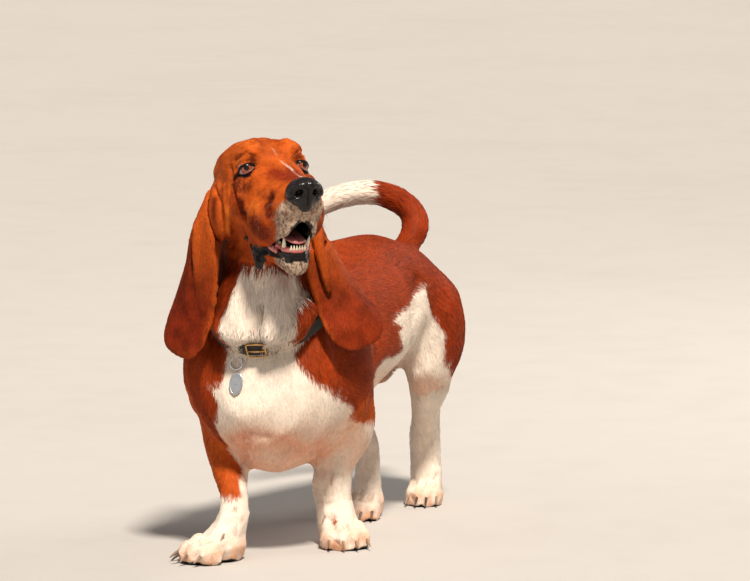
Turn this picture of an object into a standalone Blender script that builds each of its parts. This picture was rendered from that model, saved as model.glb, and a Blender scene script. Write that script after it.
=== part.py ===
"""Basset hound standing with one forepaw forward, head raised and turned to its left.

Metres, +Z up. The dog faces -Y and its left side is +X. The flesh is modelled whole from lofted
rings and muscle ellipsoids, fused, and then parted with thin cuts into the nodes a person would
name. Ears, nose, eyes, tongue, gums, claws and collar are their own solids.
"""

import math

import bmesh
import bpy
from mathutils import Euler, Matrix, Vector
from mathutils.bvhtree import BVHTree

# Driving dimensions of the dog.
WITHERS = 0.384
BODY_HALF_WIDTH = 0.121
EYE_RADIUS = 0.0115
EYE_SPACING = 0.073
EAR_THICKNESS = 0.008
CLAW_LENGTH = 0.019
CLAW_RADIUS = 0.0033
CLAW_RINGS = 3

# Gaps and mesh sizes.
GAP = 0.0003
CUT = 0.0004
BODY_VOXEL = 0.006
HEAD_VOXEL = 0.0034
BODY_TRIANGLES = 1760
HEAD_TRIANGLES = 1040
JAW_TRIANGLES = 250
PAW_VOXEL = 0.0032
PAW_TRIANGLES = 208
NOSE_VOXEL = 0.0022
NOSE_TRIANGLES = 176
TEETH_VOXEL = 0.0016
TEETH_TRIANGLES = 216
EAR_SHARE_KEPT = 0.155

# The head's own frame: its origin is midway between the eyes, -Y to the nose, +X to its left.
HEAD_AT = Vector((0.030, -0.300, 0.530))
HEAD_YAW = math.radians(41)
HEAD_PITCH = math.radians(9)
HEAD_ROLL = math.radians(-1)
HEAD = (
    Matrix.Translation(HEAD_AT)
    @ Matrix.Rotation(HEAD_YAW, 4, "Z")
    @ Matrix.Rotation(-HEAD_PITCH, 4, "X")
    @ Matrix.Rotation(HEAD_ROLL, 4, "Y")
)
# The cut between head and neck.
NAPE_CUT = Vector((0.0, -0.235, 0.425))
NAPE_TILT = math.radians(20)
NAPE_NORMAL = Vector((0.0, -math.sin(NAPE_TILT), math.cos(NAPE_TILT)))
# The lower jaw's frame: the head's, opened about the hinge.
JAW_HINGE = Vector((0.0, 0.030, -0.062))
JAW_OPEN = math.radians(19)
JAW_SWING = Matrix.Rotation(JAW_OPEN, 4, "X") @ Matrix.Translation(-JAW_HINGE)
JAW = HEAD @ Matrix.Translation(JAW_HINGE) @ JAW_SWING

# Colours: linear red, green, blue, and roughness.
RED_COAT = (0.35, 0.085, 0.022)
WHITE_COAT = (0.80, 0.70, 0.58)
DARK_SKIN = (0.018, 0.014, 0.013)
EYE_BROWN = (0.10, 0.030, 0.010)
PINK_FLESH = (0.55, 0.14, 0.12)
TOOTH_IVORY = (0.80, 0.72, 0.55)
CLAW_HORN = (0.16, 0.10, 0.07)
STRAP_BLACK = (0.015, 0.014, 0.013)
BRASS = (0.60, 0.38, 0.16)
STEEL = (0.55, 0.55, 0.56)


def clear_scene():
    for obj in list(bpy.data.objects):
        bpy.data.objects.remove(obj, do_unlink=True)


def material(name, colour, roughness=0.7, metallic=0.0):
    found = bpy.data.materials.get(name)
    if found:
        return found
    made = bpy.data.materials.new(name)
    made.use_nodes = True
    shader = made.node_tree.nodes["Principled BSDF"]
    shader.inputs["Base Color"].default_value = (*colour, 1.0)
    shader.inputs["Roughness"].default_value = roughness
    shader.inputs["Metallic"].default_value = metallic
    made.diffuse_color = (*colour, 1.0)
    return made


def red_coat():
    return material("red_coat", RED_COAT)


def white_coat():
    return material("white_coat", WHITE_COAT)


def object_of(name, bm, finish=None):
    """A new object that takes over the bmesh."""
    mesh = bpy.data.meshes.new(name)
    bmesh.ops.recalc_face_normals(bm, faces=bm.faces)
    bm.to_mesh(mesh)
    bm.free()
    obj = bpy.data.objects.new(name, mesh)
    bpy.context.scene.collection.objects.link(obj)
    if finish:
        obj.data.materials.append(finish)
    return obj


def bake_modifiers(obj):
    """Writes the evaluated mesh back to the object and drops its modifiers."""
    bpy.context.view_layer.update()
    graph = bpy.context.evaluated_depsgraph_get()
    baked = bpy.data.meshes.new_from_object(obj.evaluated_get(graph))
    baked.name = obj.name
    obj.modifiers.clear()
    old = obj.data
    obj.data = baked
    bpy.data.meshes.remove(old)
    return obj


def signed_power(value, power):
    return math.copysign(abs(value) ** power, value)


def add_ring(bm, centre, side, up, half_side, half_up, half_down, pinch, segments, power):
    """One closed ring of a loft. A power below 1 squares it off; a pinch narrows its lower half."""
    ring = bmesh.ops.create_circle(bm, cap_ends=False, radius=1.0, segments=segments)["verts"]
    for vert in ring:
        across = signed_power(vert.co.x, power)
        rise = signed_power(vert.co.y, power)
        across *= 1 - pinch * max(-rise, 0.0) ** 1.5
        vert.co = centre + side * half_side * across + up * (half_up if rise > 0 else half_down) * rise
    return ring


def edges_within(verts):
    kept = set(verts)
    touching = {edge for vert in verts for edge in vert.link_edges}
    return [edge for edge in touching if edge.verts[0] in kept and edge.verts[1] in kept]


def close_loft(bm, rings):
    """Bridges the rings in order and caps both ends."""
    loops = [edges_within(ring) for ring in rings]
    for first, second in zip(loops, loops[1:]):
        bmesh.ops.bridge_loops(bm, edges=first + second)
    bmesh.ops.contextual_create(bm, geom=rings[0])
    bmesh.ops.contextual_create(bm, geom=rings[-1])


def loft(bm, stations, side=Vector((1, 0, 0)), segments=20, power=1.0):
    """A closed tube through stations (centre, half width, half height above, below, pinch).

    The last two may be left out: then the ring is as high below its centre as above, unpinched.
    """
    rings = []
    centres = [Vector(s[0]) for s in stations]
    for i, station in enumerate(stations):
        along = (centres[min(i + 1, len(centres) - 1)] - centres[max(i - 1, 0)]).normalized()
        across = (side - along * side.dot(along)).normalized()
        up = across.cross(along)
        if up.z < 0 or (abs(up.z) < 0.3 and up.y > 0):
            up = -up
        half, above = station[1:3]
        below = station[3] if len(station) > 3 else above
        pinch = station[4] if len(station) > 4 else 0.0
        rings.append(
            add_ring(bm, centres[i], across, up, half, above, below, pinch, segments, power)
        )
    close_loft(bm, rings)


def ellipsoid(bm, centre, radii, turn=(0, 0, 0), frame=Matrix.Identity(4), detail=2):
    """A muscle or a bulge; turn is in degrees about X, Y and Z."""
    turned = Euler([math.radians(a) for a in turn]).to_matrix().to_4x4()
    place = frame @ Matrix.Translation(Vector(centre)) @ turned @ Matrix.Diagonal((*radii, 1.0))
    bmesh.ops.create_icosphere(bm, subdivisions=detail, radius=1.0, matrix=place)


def smooth_path(points, steps):
    """Catmull-Rom points through the given ones; numbers after x, y, z are blended with them."""
    rows = [list(p) for p in points]
    rows = [rows[0]] + rows + [rows[-1]]
    found = []
    for i in range(1, len(rows) - 2):
        for step in range(steps):
            t = step / steps
            found.append(
                [
                    0.5
                    * (
                        2 * b
                        + (c - a) * t
                        + (2 * a - 5 * b + 4 * c - d) * t * t
                        + (3 * b - a - 3 * c + d) * t * t * t
                    )
                    for a, b, c, d in zip(rows[i - 1], rows[i], rows[i + 1], rows[i + 2])
                ]
            )
    found.append(rows[-2])
    return found


def tube(bm, points, steps=3, segments=14, side=Vector((1, 0, 0)), flatten=1.0):
    """A rounded limb through rows (x, y, z, radius)."""
    rows = smooth_path(points, steps)
    stations = [((x, y, z), radius, radius * flatten) for x, y, z, radius in rows]
    loft(bm, stations, side=side, segments=segments)


def fuse(obj, voxel, rounds, triangles, factor=0.5):
    """One closed, smoothed and thinned surface from overlapping closed shapes."""
    remesh = obj.modifiers.new("fuse", "REMESH")
    remesh.mode = "VOXEL"
    remesh.voxel_size = voxel
    soften = obj.modifiers.new("soften", "SMOOTH")
    soften.factor = factor
    soften.iterations = rounds
    bake_modifiers(obj)
    thin = obj.modifiers.new("thin", "DECIMATE")
    thin.ratio = min(1.0, triangles / (2 * len(obj.data.polygons)))
    return bake_modifiers(obj)


def boolean(obj, cutter, operation):
    step = obj.modifiers.new("cut", "BOOLEAN")
    step.operation = operation
    step.solver = "EXACT"
    step.object = cutter
    return bake_modifiers(obj)


def copy_of(obj, name):
    made = obj.copy()
    made.data = obj.data.copy()
    made.name = name
    bpy.context.scene.collection.objects.link(made)
    return made


def grown(obj, by):
    """A temporary copy whose surface lies further out."""
    made = copy_of(obj, obj.name + "_grown")
    push = made.modifiers.new("grow", "DISPLACE")
    push.strength = by
    push.mid_level = 0.0
    return bake_modifiers(made)


def discard(obj):
    mesh = obj.data
    bpy.data.objects.remove(obj, do_unlink=True)
    bpy.data.meshes.remove(mesh)


def cut_clear(obj, neighbour, gap=GAP):
    """Takes the neighbour's space and a thin gap out of the object."""
    cutter = grown(neighbour, gap)
    boolean(obj, cutter, "DIFFERENCE")
    discard(cutter)
    return keep_largest(obj)


def keep_largest(obj):
    """Drops crumbs that a cut leaves beside the main body."""
    bm = bmesh.new()
    bm.from_mesh(obj.data)
    bmesh.ops.remove_doubles(bm, verts=bm.verts, dist=1e-6)
    seen, groups = set(), []
    for face in bm.faces:
        if face in seen:
            continue
        group, waiting = [], [face]
        seen.add(face)
        while waiting:
            now = waiting.pop()
            group.append(now)
            for edge in now.edges:
                for other in edge.link_faces:
                    if other not in seen:
                        seen.add(other)
                        waiting.append(other)
        groups.append(group)
    groups.sort(key=lambda g: -sum(f.calc_area() for f in g))
    for group in groups[1:]:
        bmesh.ops.delete(bm, geom=group, context="FACES")
    bm.to_mesh(obj.data)
    bm.free()
    return obj


def wedge(name, point, normal, low, high):
    """A cutter: the part of the box low..high that lies on the normal's side of a plane."""
    bm = bmesh.new()
    size = Vector(high) - Vector(low)
    middle = (Vector(high) + Vector(low)) / 2
    place = Matrix.Translation(middle) @ Matrix.Diagonal((*size, 1.0))
    bmesh.ops.create_cube(bm, size=1.0, matrix=place)
    found = bmesh.ops.bisect_plane(
        bm,
        geom=bm.verts[:] + bm.edges[:] + bm.faces[:],
        plane_co=Vector(point),
        plane_no=Vector(normal).normalized(),
        clear_inner=True,
    )
    rim = [e for e in found["geom_cut"] if isinstance(e, bmesh.types.BMEdge)]
    if rim:
        bmesh.ops.contextual_create(bm, geom=rim)
    return object_of(name, bm)


def carve(body, name, point, normal, low, high, finish):
    """Parts a node from the body with one thin plane cut inside a box, and returns it."""
    direction = Vector(normal).normalized()
    near = wedge("near", Vector(point) + direction * CUT / 2, direction, low, high)
    wide = wedge("wide", Vector(point) - direction * CUT / 2, direction, low, high)
    piece = boolean(copy_of(body, name), near, "INTERSECT")
    boolean(body, wide, "DIFFERENCE")
    discard(near)
    discard(wide)
    keep_largest(piece)
    keep_largest(body)
    piece.data.materials.clear()
    piece.data.materials.append(finish)
    return piece


# The trunk: ring place along Y, middle height, half width, height above and below the middle, and
# how much the lower half narrows towards the keel.
TRUNK_RINGS = (
    (-0.286, 0.246, 0.040, 0.046, 0.046, 0.0),
    (-0.266, 0.240, 0.080, 0.084, 0.084, 0.0),
    (-0.230, 0.238, 0.106, 0.114, 0.114, 0.0),
    (-0.170, 0.241, 0.120, 0.134, 0.134, 0.15),
    (-0.100, 0.245, BODY_HALF_WIDTH, WITHERS - 0.245, WITHERS - 0.245, 0.38),
    (-0.020, 0.260, 0.119, 0.134, 0.124, 0.58),
    (0.060, 0.278, 0.106, 0.124, 0.102, 0.66),
    (0.125, 0.296, 0.087, 0.105, 0.088, 0.55),
    (0.180, 0.289, 0.081, 0.092, 0.084, 0.30),
    (0.235, 0.273, 0.070, 0.080, 0.080, 0.10),
    (0.270, 0.269, 0.056, 0.066, 0.066, 0.0),
    (0.292, 0.272, 0.036, 0.046, 0.046, 0.0),
    (0.302, 0.274, 0.016, 0.022, 0.022, 0.0),
)


def midline(y):
    """The spine bends a little: the croup stands further to the dog's left than the chest."""
    share = min(max((y + 0.10) / 0.36, 0.0), 1.0)
    return -0.012 + 0.040 * share * share * (3 - 2 * share)


def build_trunk(bm):
    stations = [
        ((midline(y), y, z), half, above, below, pinch)
        for y, z, half, above, below, pinch in TRUNK_RINGS
    ]
    loft(bm, stations, segments=24)
    # Keel of the breastbone, shoulder blades, and the sheath under the belly.
    ellipsoid(bm, (-0.008, -0.185, 0.160), (0.052, 0.085, 0.056))
    ellipsoid(bm, (-0.066, -0.140, 0.290), (0.052, 0.080, 0.080), turn=(20, 0, 0))
    ellipsoid(bm, (0.048, -0.115, 0.290), (0.052, 0.080, 0.080), turn=(20, 0, 0))
    ellipsoid(bm, (0.024, 0.135, 0.206), (0.013, 0.045, 0.018), turn=(4, 0, 0))


def build_neck(bm):
    stations = [
        ((-0.010, -0.110, 0.290), 0.100, 0.095, 0.095),
        ((-0.008, -0.155, 0.330), 0.090, 0.085, 0.095),
        ((-0.004, -0.195, 0.380), 0.083, 0.072, 0.086),
        ((0.000, -0.222, 0.428), 0.073, 0.060, 0.074),
        ((0.002, -0.238, 0.472), 0.060, 0.052, 0.060),
        ((0.004, -0.244, 0.504), 0.050, 0.044, 0.048),
    ]
    loft(bm, stations, segments=20)
    # Dewlap: two soft folds that hang from the throat over the collar.
    ellipsoid(bm, (-0.026, -0.270, 0.343), (0.035, 0.036, 0.060), turn=(-14, 0, 0))
    ellipsoid(bm, (0.022, -0.274, 0.347), (0.035, 0.036, 0.062), turn=(-14, 0, 0))
    ellipsoid(bm, (0.004, -0.270, 0.400), (0.040, 0.030, 0.045))


def paw_shapes(bm, centre, heading, width=0.074, length=0.098):
    """Heel pad, four toes and the knuckles above them; heading is degrees outward from -Y."""
    frame = Matrix.Translation(Vector(centre)) @ Matrix.Rotation(math.radians(heading), 4, "Z")
    ellipsoid(bm, (0, 0.012, 0.020), (width * 0.42, length * 0.37, 0.028), frame=frame)
    for slot in (-1.5, -0.5, 0.5, 1.5):
        outer = abs(slot) > 1
        reach = -length * (0.24 if outer else 0.34)
        ellipsoid(
            bm,
            (slot * width * 0.225, reach, 0.013),
            (width * 0.145, length * 0.20, 0.0185),
            turn=(0, 0, -slot * 6),
            frame=frame,
        )


# Each leg below the elbow or the stifle: middle line (x, y, z, radius), how much deeper than wide
# it is, then the paw's place on the floor, its heading outward from straight ahead in degrees, its
# width and length, and the height of the cut above it.
LEGS = {
    "fore_right": (
        (
            (-0.096, -0.180, 0.230, 0.038),
            (-0.091, -0.168, 0.180, 0.037),
            (-0.082, -0.190, 0.145, 0.031),
            (-0.062, -0.225, 0.110, 0.024),
            (-0.044, -0.252, 0.078, 0.0195),
            (-0.043, -0.264, 0.052, 0.0215),
            (-0.050, -0.274, 0.030, 0.025),
        ),
        1.05,
        (-0.060, -0.287, 0.0),
        -34,
        (0.074, 0.098),
        0.066,
    ),
    "fore_left": (
        (
            (0.074, -0.134, 0.235, 0.036),
            (0.069, -0.110, 0.180, 0.035),
            (0.062, -0.098, 0.145, 0.030),
            (0.045, -0.098, 0.112, 0.0245),
            (0.036, -0.099, 0.084, 0.0290),
            (0.041, -0.102, 0.055, 0.0250),
            (0.050, -0.110, 0.028, 0.028),
        ),
        1.05,
        (0.057, -0.118, 0.0),
        34,
        (0.074, 0.098),
        0.066,
    ),
    "hind_left": (
        (
            (0.078, 0.176, 0.212, 0.034),
            (0.065, 0.205, 0.165, 0.0235),
            (0.050, 0.246, 0.128, 0.0205),
            (0.039, 0.272, 0.096, 0.0235),
            (0.040, 0.274, 0.064, 0.0220),
            (0.044, 0.266, 0.030, 0.0225),
        ),
        1.25,
        (0.046, 0.256, 0.0),
        12,
        (0.057, 0.086),
        0.052,
    ),
    "hind_right": (
        (
            (-0.038, 0.130, 0.212, 0.034),
            (-0.033, 0.126, 0.165, 0.0245),
            (-0.019, 0.140, 0.128, 0.0200),
            (-0.006, 0.150, 0.098, 0.0200),
            (0.001, 0.140, 0.062, 0.0185),
            (0.005, 0.124, 0.030, 0.0215),
        ),
        1.25,
        (0.008, 0.110, 0.0),
        4,
        (0.058, 0.088),
        0.052,
    ),
}


def build_shoulders_and_thighs(bm):
    ellipsoid(bm, (-0.098, -0.195, 0.240), (0.040, 0.060, 0.080), turn=(24, 0, 0))
    ellipsoid(bm, (0.080, -0.150, 0.240), (0.037, 0.058, 0.080), turn=(20, 0, 0))
    ellipsoid(bm, (0.077, 0.196, 0.258), (0.045, 0.080, 0.088), turn=(16, 0, 0))
    ellipsoid(bm, (0.080, 0.170, 0.222), (0.031, 0.052, 0.042), turn=(26, 0, 0))
    ellipsoid(bm, (-0.030, 0.180, 0.266), (0.040, 0.076, 0.078), turn=(-8, 0, 0))
    ellipsoid(bm, (-0.036, 0.130, 0.218), (0.032, 0.050, 0.042))
    ellipsoid(bm, (0.072, 0.214, 0.188), (0.026, 0.034, 0.046), turn=(32, 0, 0))
    ellipsoid(bm, (-0.033, 0.160, 0.190), (0.024, 0.032, 0.042), turn=(6, 0, 0))


def build_paw(name):
    """A paw with four toes, from the floor up to the cut through the leg."""
    rows, deeper, centre, heading, size, cut = LEGS[name]
    bm = bmesh.new()
    tube(bm, rows, flatten=deeper)
    paw_shapes(bm, centre, heading, *size)
    obj = fuse(object_of("paw_" + name, bm, white_coat()), PAW_VOXEL, 3, PAW_TRIANGLES)
    slice_off(obj, (0, 0, 0), (0, 0, 1))
    slice_off(obj, (0, 0, cut - CUT / 2), (0, 0, -1))
    return obj


def slice_off(obj, point, normal):
    """Keeps the normal's side of a plane and closes the cut with a flat."""
    bm = bmesh.new()
    bm.from_mesh(obj.data)
    found = bmesh.ops.bisect_plane(
        bm,
        geom=bm.verts[:] + bm.edges[:] + bm.faces[:],
        dist=1e-6,
        plane_co=point,
        plane_no=normal,
        clear_inner=True,
    )
    rim = [e for e in found["geom_cut"] if isinstance(e, bmesh.types.BMEdge)]
    bmesh.ops.holes_fill(bm, edges=rim, sides=0)
    bmesh.ops.recalc_face_normals(bm, faces=bm.faces)
    bm.to_mesh(obj.data)
    bm.free()


# The tail's middle line, rising from the croup and curling over the back: x, y, z, radius.
TAIL_LINE = (
    (0.020, 0.195, 0.342, 0.028),
    (0.019, 0.234, 0.362, 0.0200),
    (0.0285, 0.262, 0.388, 0.0210),
    (0.020, 0.274, 0.413, 0.0205),
    (-0.005, 0.264, 0.434, 0.0200),
    (-0.037, 0.240, 0.443, 0.0195),
    (-0.068, 0.208, 0.438, 0.0190),
    (-0.095, 0.174, 0.423, 0.0175),
    (-0.116, 0.142, 0.404, 0.0140),
    (-0.129, 0.118, 0.389, 0.0080),
)


def build_tail(bm):
    tube(bm, TAIL_LINE, steps=3, segments=14)
    ellipsoid(bm, TAIL_LINE[-1][:3], (0.008, 0.008, 0.008), detail=1)


def build_body():
    """Trunk, neck, upper legs and tail as one surface."""
    bm = bmesh.new()
    build_trunk(bm)
    build_neck(bm)
    build_shoulders_and_thighs(bm)
    for rows, deeper, *_ in LEGS.values():
        tube(bm, rows, flatten=deeper)
    build_tail(bm)
    obj = fuse(object_of("body", bm), BODY_VOXEL, 6, BODY_TRIANGLES)
    slice_off(obj, NAPE_CUT - NAPE_NORMAL * CUT / 2, -NAPE_NORMAL)
    return obj


# The muzzle and face, in the head's frame: place along Y, top, bottom, half width.
MUZZLE_RINGS = (
    (0.050, 0.034, -0.085, 0.050),
    (0.020, 0.027, -0.088, 0.049),
    (-0.008, 0.010, -0.088, 0.044),
    (-0.035, -0.006, -0.086, 0.038),
    (-0.062, -0.013, -0.082, 0.0345),
    (-0.088, -0.017, -0.075, 0.0315),
    (-0.104, -0.021, -0.068, 0.0265),
    (-0.112, -0.028, -0.060, 0.018),
)


def build_head():
    """Skull, cheeks, muzzle and flews on the top of the neck, with the open mouth cut away below."""
    bm = bmesh.new()
    stations = [
        ((0, y, (top + bottom) / 2), half, (top - bottom) / 2)
        for y, top, bottom, half in MUZZLE_RINGS
    ]
    loft(bm, stations, segments=20, power=0.85)
    ellipsoid(bm, (0, 0.052, 0.000), (0.062, 0.076, 0.045))
    ellipsoid(bm, (0, 0.050, -0.045), (0.058, 0.062, 0.050))
    ellipsoid(bm, (0, 0.114, 0.016), (0.018, 0.020, 0.018))
    for side in (-1, 1):
        ellipsoid(bm, (side * 0.027, 0.012, 0.022), (0.021, 0.028, 0.015), turn=(0, side * 20, 0))
        ellipsoid(bm, (side * 0.044, 0.018, -0.036), (0.018, 0.036, 0.038))
        ellipsoid(bm, (side * 0.036, -0.028, -0.072), (0.0115, 0.050, 0.029), turn=(-8, side * 8, 0))
        ellipsoid(bm, (side * 0.021, -0.078, -0.058), (0.014, 0.028, 0.022))
        ellipsoid(bm, (side * 0.050, 0.062, -0.046), (0.022, 0.040, 0.048), turn=(0, side * -8, 0))
    bmesh.ops.transform(bm, matrix=HEAD, verts=bm.verts)
    build_neck(bm)
    obj = object_of("head", bm, red_coat())
    fuse(obj, HEAD_VOXEL, 7, HEAD_TRIANGLES)
    slice_off(obj, NAPE_CUT + NAPE_NORMAL * CUT / 2, NAPE_NORMAL)
    mouth = bmesh.new()
    cavity = [
        ((0, 0.030, -0.080), 0.020, 0.010, 0.030),
        ((0, 0.000, -0.074), 0.027, 0.012, 0.050),
        ((0, -0.040, -0.072), 0.024, 0.014, 0.060),
        ((0, -0.070, -0.070), 0.020, 0.012, 0.060),
        ((0, -0.088, -0.074), 0.013, 0.010, 0.050),
    ]
    loft(mouth, cavity, segments=16, power=0.9)
    cutter = object_of("mouth_cutter", mouth)
    cutter.data.transform(HEAD)
    boolean(obj, cutter, "DIFFERENCE")
    discard(cutter)
    return keep_largest(obj)


def build_jaw():
    """Lower jaw with the chin and the loose lower lips, opened about its hinge."""
    bm = bmesh.new()
    rows = [
        ((0, 0.050, -0.092), 0.030, 0.014, 0.016),
        ((0, 0.020, -0.092), 0.030, 0.014, 0.018),
        ((0, -0.020, -0.093), 0.0235, 0.012, 0.018),
        ((0, -0.060, -0.093), 0.0195, 0.011, 0.018),
        ((0, -0.080, -0.093), 0.0180, 0.010, 0.018),
        ((0, -0.090, -0.094), 0.0120, 0.008, 0.012),
    ]
    loft(bm, rows, segments=18, power=0.85)
    ellipsoid(bm, (0, -0.078, -0.100), (0.017, 0.014, 0.014))
    for side in (-1, 1):
        ellipsoid(bm, (side * 0.026, -0.008, -0.096), (0.009, 0.030, 0.017), turn=(4, side * -10, 0))
    obj = object_of("jaw", bm, white_coat())
    obj.data.transform(JAW)
    return fuse(obj, HEAD_VOXEL, 4, JAW_TRIANGLES)


# One nostril, mirrored for the other: middle, radii, and its turn in degrees.
NOSTRIL_AT = (0.0115, -0.1275, -0.042)
NOSTRIL_RADII = (0.0042, 0.0080, 0.0050)
NOSTRIL_TURN = (0, 24, 26)


def build_nose():
    """Nose leather with two open nostrils."""
    bm = bmesh.new()
    ellipsoid(bm, (0, -0.110, -0.040), (0.0255, 0.016, 0.0205), detail=3)
    ellipsoid(bm, (0, -0.116, -0.034), (0.0200, 0.0130, 0.0140), detail=2)
    obj = object_of("nose", bm, material("nose_leather", DARK_SKIN, 0.35))
    obj.data.transform(HEAD)
    fuse(obj, NOSE_VOXEL, 3, NOSE_TRIANGLES)
    x, y, z = NOSTRIL_AT
    for side in (-1, 1):
        hole = bmesh.new()
        turn = [side * angle for angle in NOSTRIL_TURN]
        ellipsoid(hole, (side * x, y, z), NOSTRIL_RADII, turn=turn, detail=1)
        cutter = object_of("nostril", hole)
        cutter.data.transform(HEAD)
        boolean(obj, cutter, "DIFFERENCE")
        discard(cutter)
    return keep_largest(obj)


def build_eye(name, side):
    bm = bmesh.new()
    place = HEAD @ Matrix.Translation((side * EYE_SPACING / 2, 0.0, 0.0))
    bmesh.ops.create_uvsphere(bm, u_segments=12, v_segments=8, radius=EYE_RADIUS, matrix=place)
    obj = object_of(name, bm, material("eye", EYE_BROWN, 0.08))
    obj.data.shade_smooth()
    return obj


def build_tongue():
    bm = bmesh.new()
    rows = [
        ((0, 0.006, -0.066), 0.0150, 0.0045, 0.005),
        ((0, -0.024, -0.070), 0.0160, 0.0045, 0.005),
        ((0, -0.052, -0.0705), 0.0150, 0.0040, 0.0045),
        ((0, -0.068, -0.0710), 0.0120, 0.0032, 0.0036),
        ((0, -0.074, -0.0715), 0.0070, 0.0018, 0.0022),
    ]
    loft(bm, rows, segments=12)
    obj = object_of("tongue", bm, material("tongue", PINK_FLESH, 0.35))
    obj.data.transform(JAW)
    return obj


def tooth(bm, base, tip, radius):
    """A pointed tooth in the jaw's frame."""
    base, tip = Vector(base), Vector(tip)
    turn = (tip - base).to_track_quat("Z", "Y").to_matrix().to_4x4()
    middle = Matrix.Translation((base + tip) / 2)
    bmesh.ops.create_cone(
        bm,
        cap_ends=True,
        segments=8,
        radius1=radius,
        radius2=radius * 0.25,
        depth=(tip - base).length,
        matrix=middle @ turn,
    )


def build_lower_gums():
    """The gum arch of the lower jaw with its six incisors, two canines and cheek teeth."""
    bm = bmesh.new()
    arch = [
        (-0.0175, -0.010, -0.079, 0.0042),
        (-0.0165, -0.040, -0.080, 0.0042),
        (-0.0150, -0.066, -0.081, 0.0048),
        (-0.0080, -0.080, -0.082, 0.0045),
        (0.0080, -0.080, -0.082, 0.0045),
        (0.0150, -0.066, -0.081, 0.0048),
        (0.0165, -0.040, -0.080, 0.0042),
        (0.0175, -0.010, -0.079, 0.0042),
    ]
    tube(bm, arch, steps=3, segments=8, side=Vector((0, 0, 1)))
    for side in (-1, 1):
        tooth(bm, (side * 0.0140, -0.0735, -0.0830), (side * 0.0165, -0.0800, -0.0640), 0.0042)
        for step in range(3):
            y = -0.052 + 0.014 * step
            tooth(bm, (side * 0.0170, y, -0.0800), (side * 0.0172, y, -0.0715), 0.0040)
        for step in range(3):
            x = side * (0.0022 + 0.0042 * step)
            back = 0.0006 * step
            tooth(bm, (x, -0.0815 + back, -0.0830), (x, -0.0840 + back, -0.0735), 0.0024)
    obj = object_of("lower_gums", bm, material("tooth", TOOTH_IVORY, 0.3))
    obj.data.transform(JAW)
    return fuse(obj, TEETH_VOXEL, 1, TEETH_TRIANGLES)


# Ear middle lines in the dog's frame: x, y, z, half width, inward roll of the edges, and the
# direction of the width in degrees about +Z.
RIGHT_EAR_LINE = (
    (-0.040, -0.284, 0.507, 0.022, 0.003, -75),
    (-0.064, -0.286, 0.482, 0.026, 0.006, -68),
    (-0.074, -0.290, 0.442, 0.034, 0.012, -56),
    (-0.079, -0.292, 0.407, 0.040, 0.016, -43),
    (-0.085, -0.292, 0.372, 0.042, 0.018, -34),
    (-0.093, -0.290, 0.337, 0.042, 0.016, -28),
    (-0.103, -0.288, 0.307, 0.042, 0.012, -26),
    (-0.112, -0.287, 0.286, 0.035, 0.007, -26),
    (-0.116, -0.287, 0.276, 0.021, 0.003, -26),
)
LEFT_EAR_LINE = (
    (0.036, -0.214, 0.503, 0.022, 0.003, 105),
    (0.052, -0.218, 0.478, 0.026, 0.006, 98),
    (0.062, -0.220, 0.440, 0.031, 0.010, 86),
    (0.072, -0.220, 0.405, 0.036, 0.013, 74),
    (0.085, -0.220, 0.374, 0.040, 0.014, 66),
    (0.101, -0.218, 0.342, 0.046, 0.013, 60),
    (0.117, -0.215, 0.317, 0.049, 0.010, 56),
    (0.126, -0.213, 0.298, 0.037, 0.006, 54),
    (0.130, -0.212, 0.288, 0.021, 0.003, 54),
)
EAR_ACROSS = 7


def build_ear(name, line):
    """A hanging leaf: a crescent section lofted down the ear's middle line."""
    bm = bmesh.new()
    rings = []
    rows = smooth_path(line, 2)
    for i, (x, y, z, half, roll, angle) in enumerate(rows):
        centre = Vector((x, y, z))
        before, after = rows[max(i - 1, 0)], rows[min(i + 1, len(rows) - 1)]
        along = (Vector(after[:3]) - Vector(before[:3])).normalized()
        wide = Vector((math.cos(math.radians(angle)), math.sin(math.radians(angle)), 0))
        across = (wide - along * wide.dot(along)).normalized()
        outer = along.cross(across)
        points = []
        for face in (1, -1):
            for k in range(EAR_ACROSS):
                u = face * (1 - 2 * k / (EAR_ACROSS - 1))
                thick = EAR_THICKNESS / 2 * (0.55 + 0.45 * (1 - u * u))
                lift = face * thick - roll * (u * u - 0.3)
                points.append(centre + across * half * u + outer * lift)
        circle = bmesh.ops.create_circle(
            bm, cap_ends=False, radius=1.0, segments=2 * EAR_ACROSS
        )["verts"]
        for vert, point in zip(circle, points):
            vert.co = point
        rings.append(circle)
    close_loft(bm, rings)
    obj = object_of(name, bm, red_coat())
    round_off = obj.modifiers.new("round", "SUBSURF")
    round_off.levels = round_off.render_levels = 1
    bake_modifiers(obj)
    thin = obj.modifiers.new("thin", "DECIMATE")
    thin.ratio = EAR_SHARE_KEPT
    return bake_modifiers(obj)


def build_claw(name, base, direction):
    """A short curved horn, thickest at its root."""
    bm = bmesh.new()
    forward = Vector(direction).normalized()
    rows = []
    for step in range(CLAW_RINGS):
        share = step / (CLAW_RINGS - 1)
        drop = Vector((0, 0, -0.0075 * share * share))
        point = Vector(base) + forward * CLAW_LENGTH * (share - 0.25) + drop
        rows.append((*point, CLAW_RADIUS * (1 - 0.72 * share * share)))
    side = Vector((0, 0, 1)).cross(forward)
    stations = [(row[:3], row[3] * 0.8, row[3], row[3]) for row in rows]
    loft(bm, stations, side=side, segments=6)
    return object_of(name, bm, material("claw_horn", CLAW_HORN, 0.3))


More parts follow.
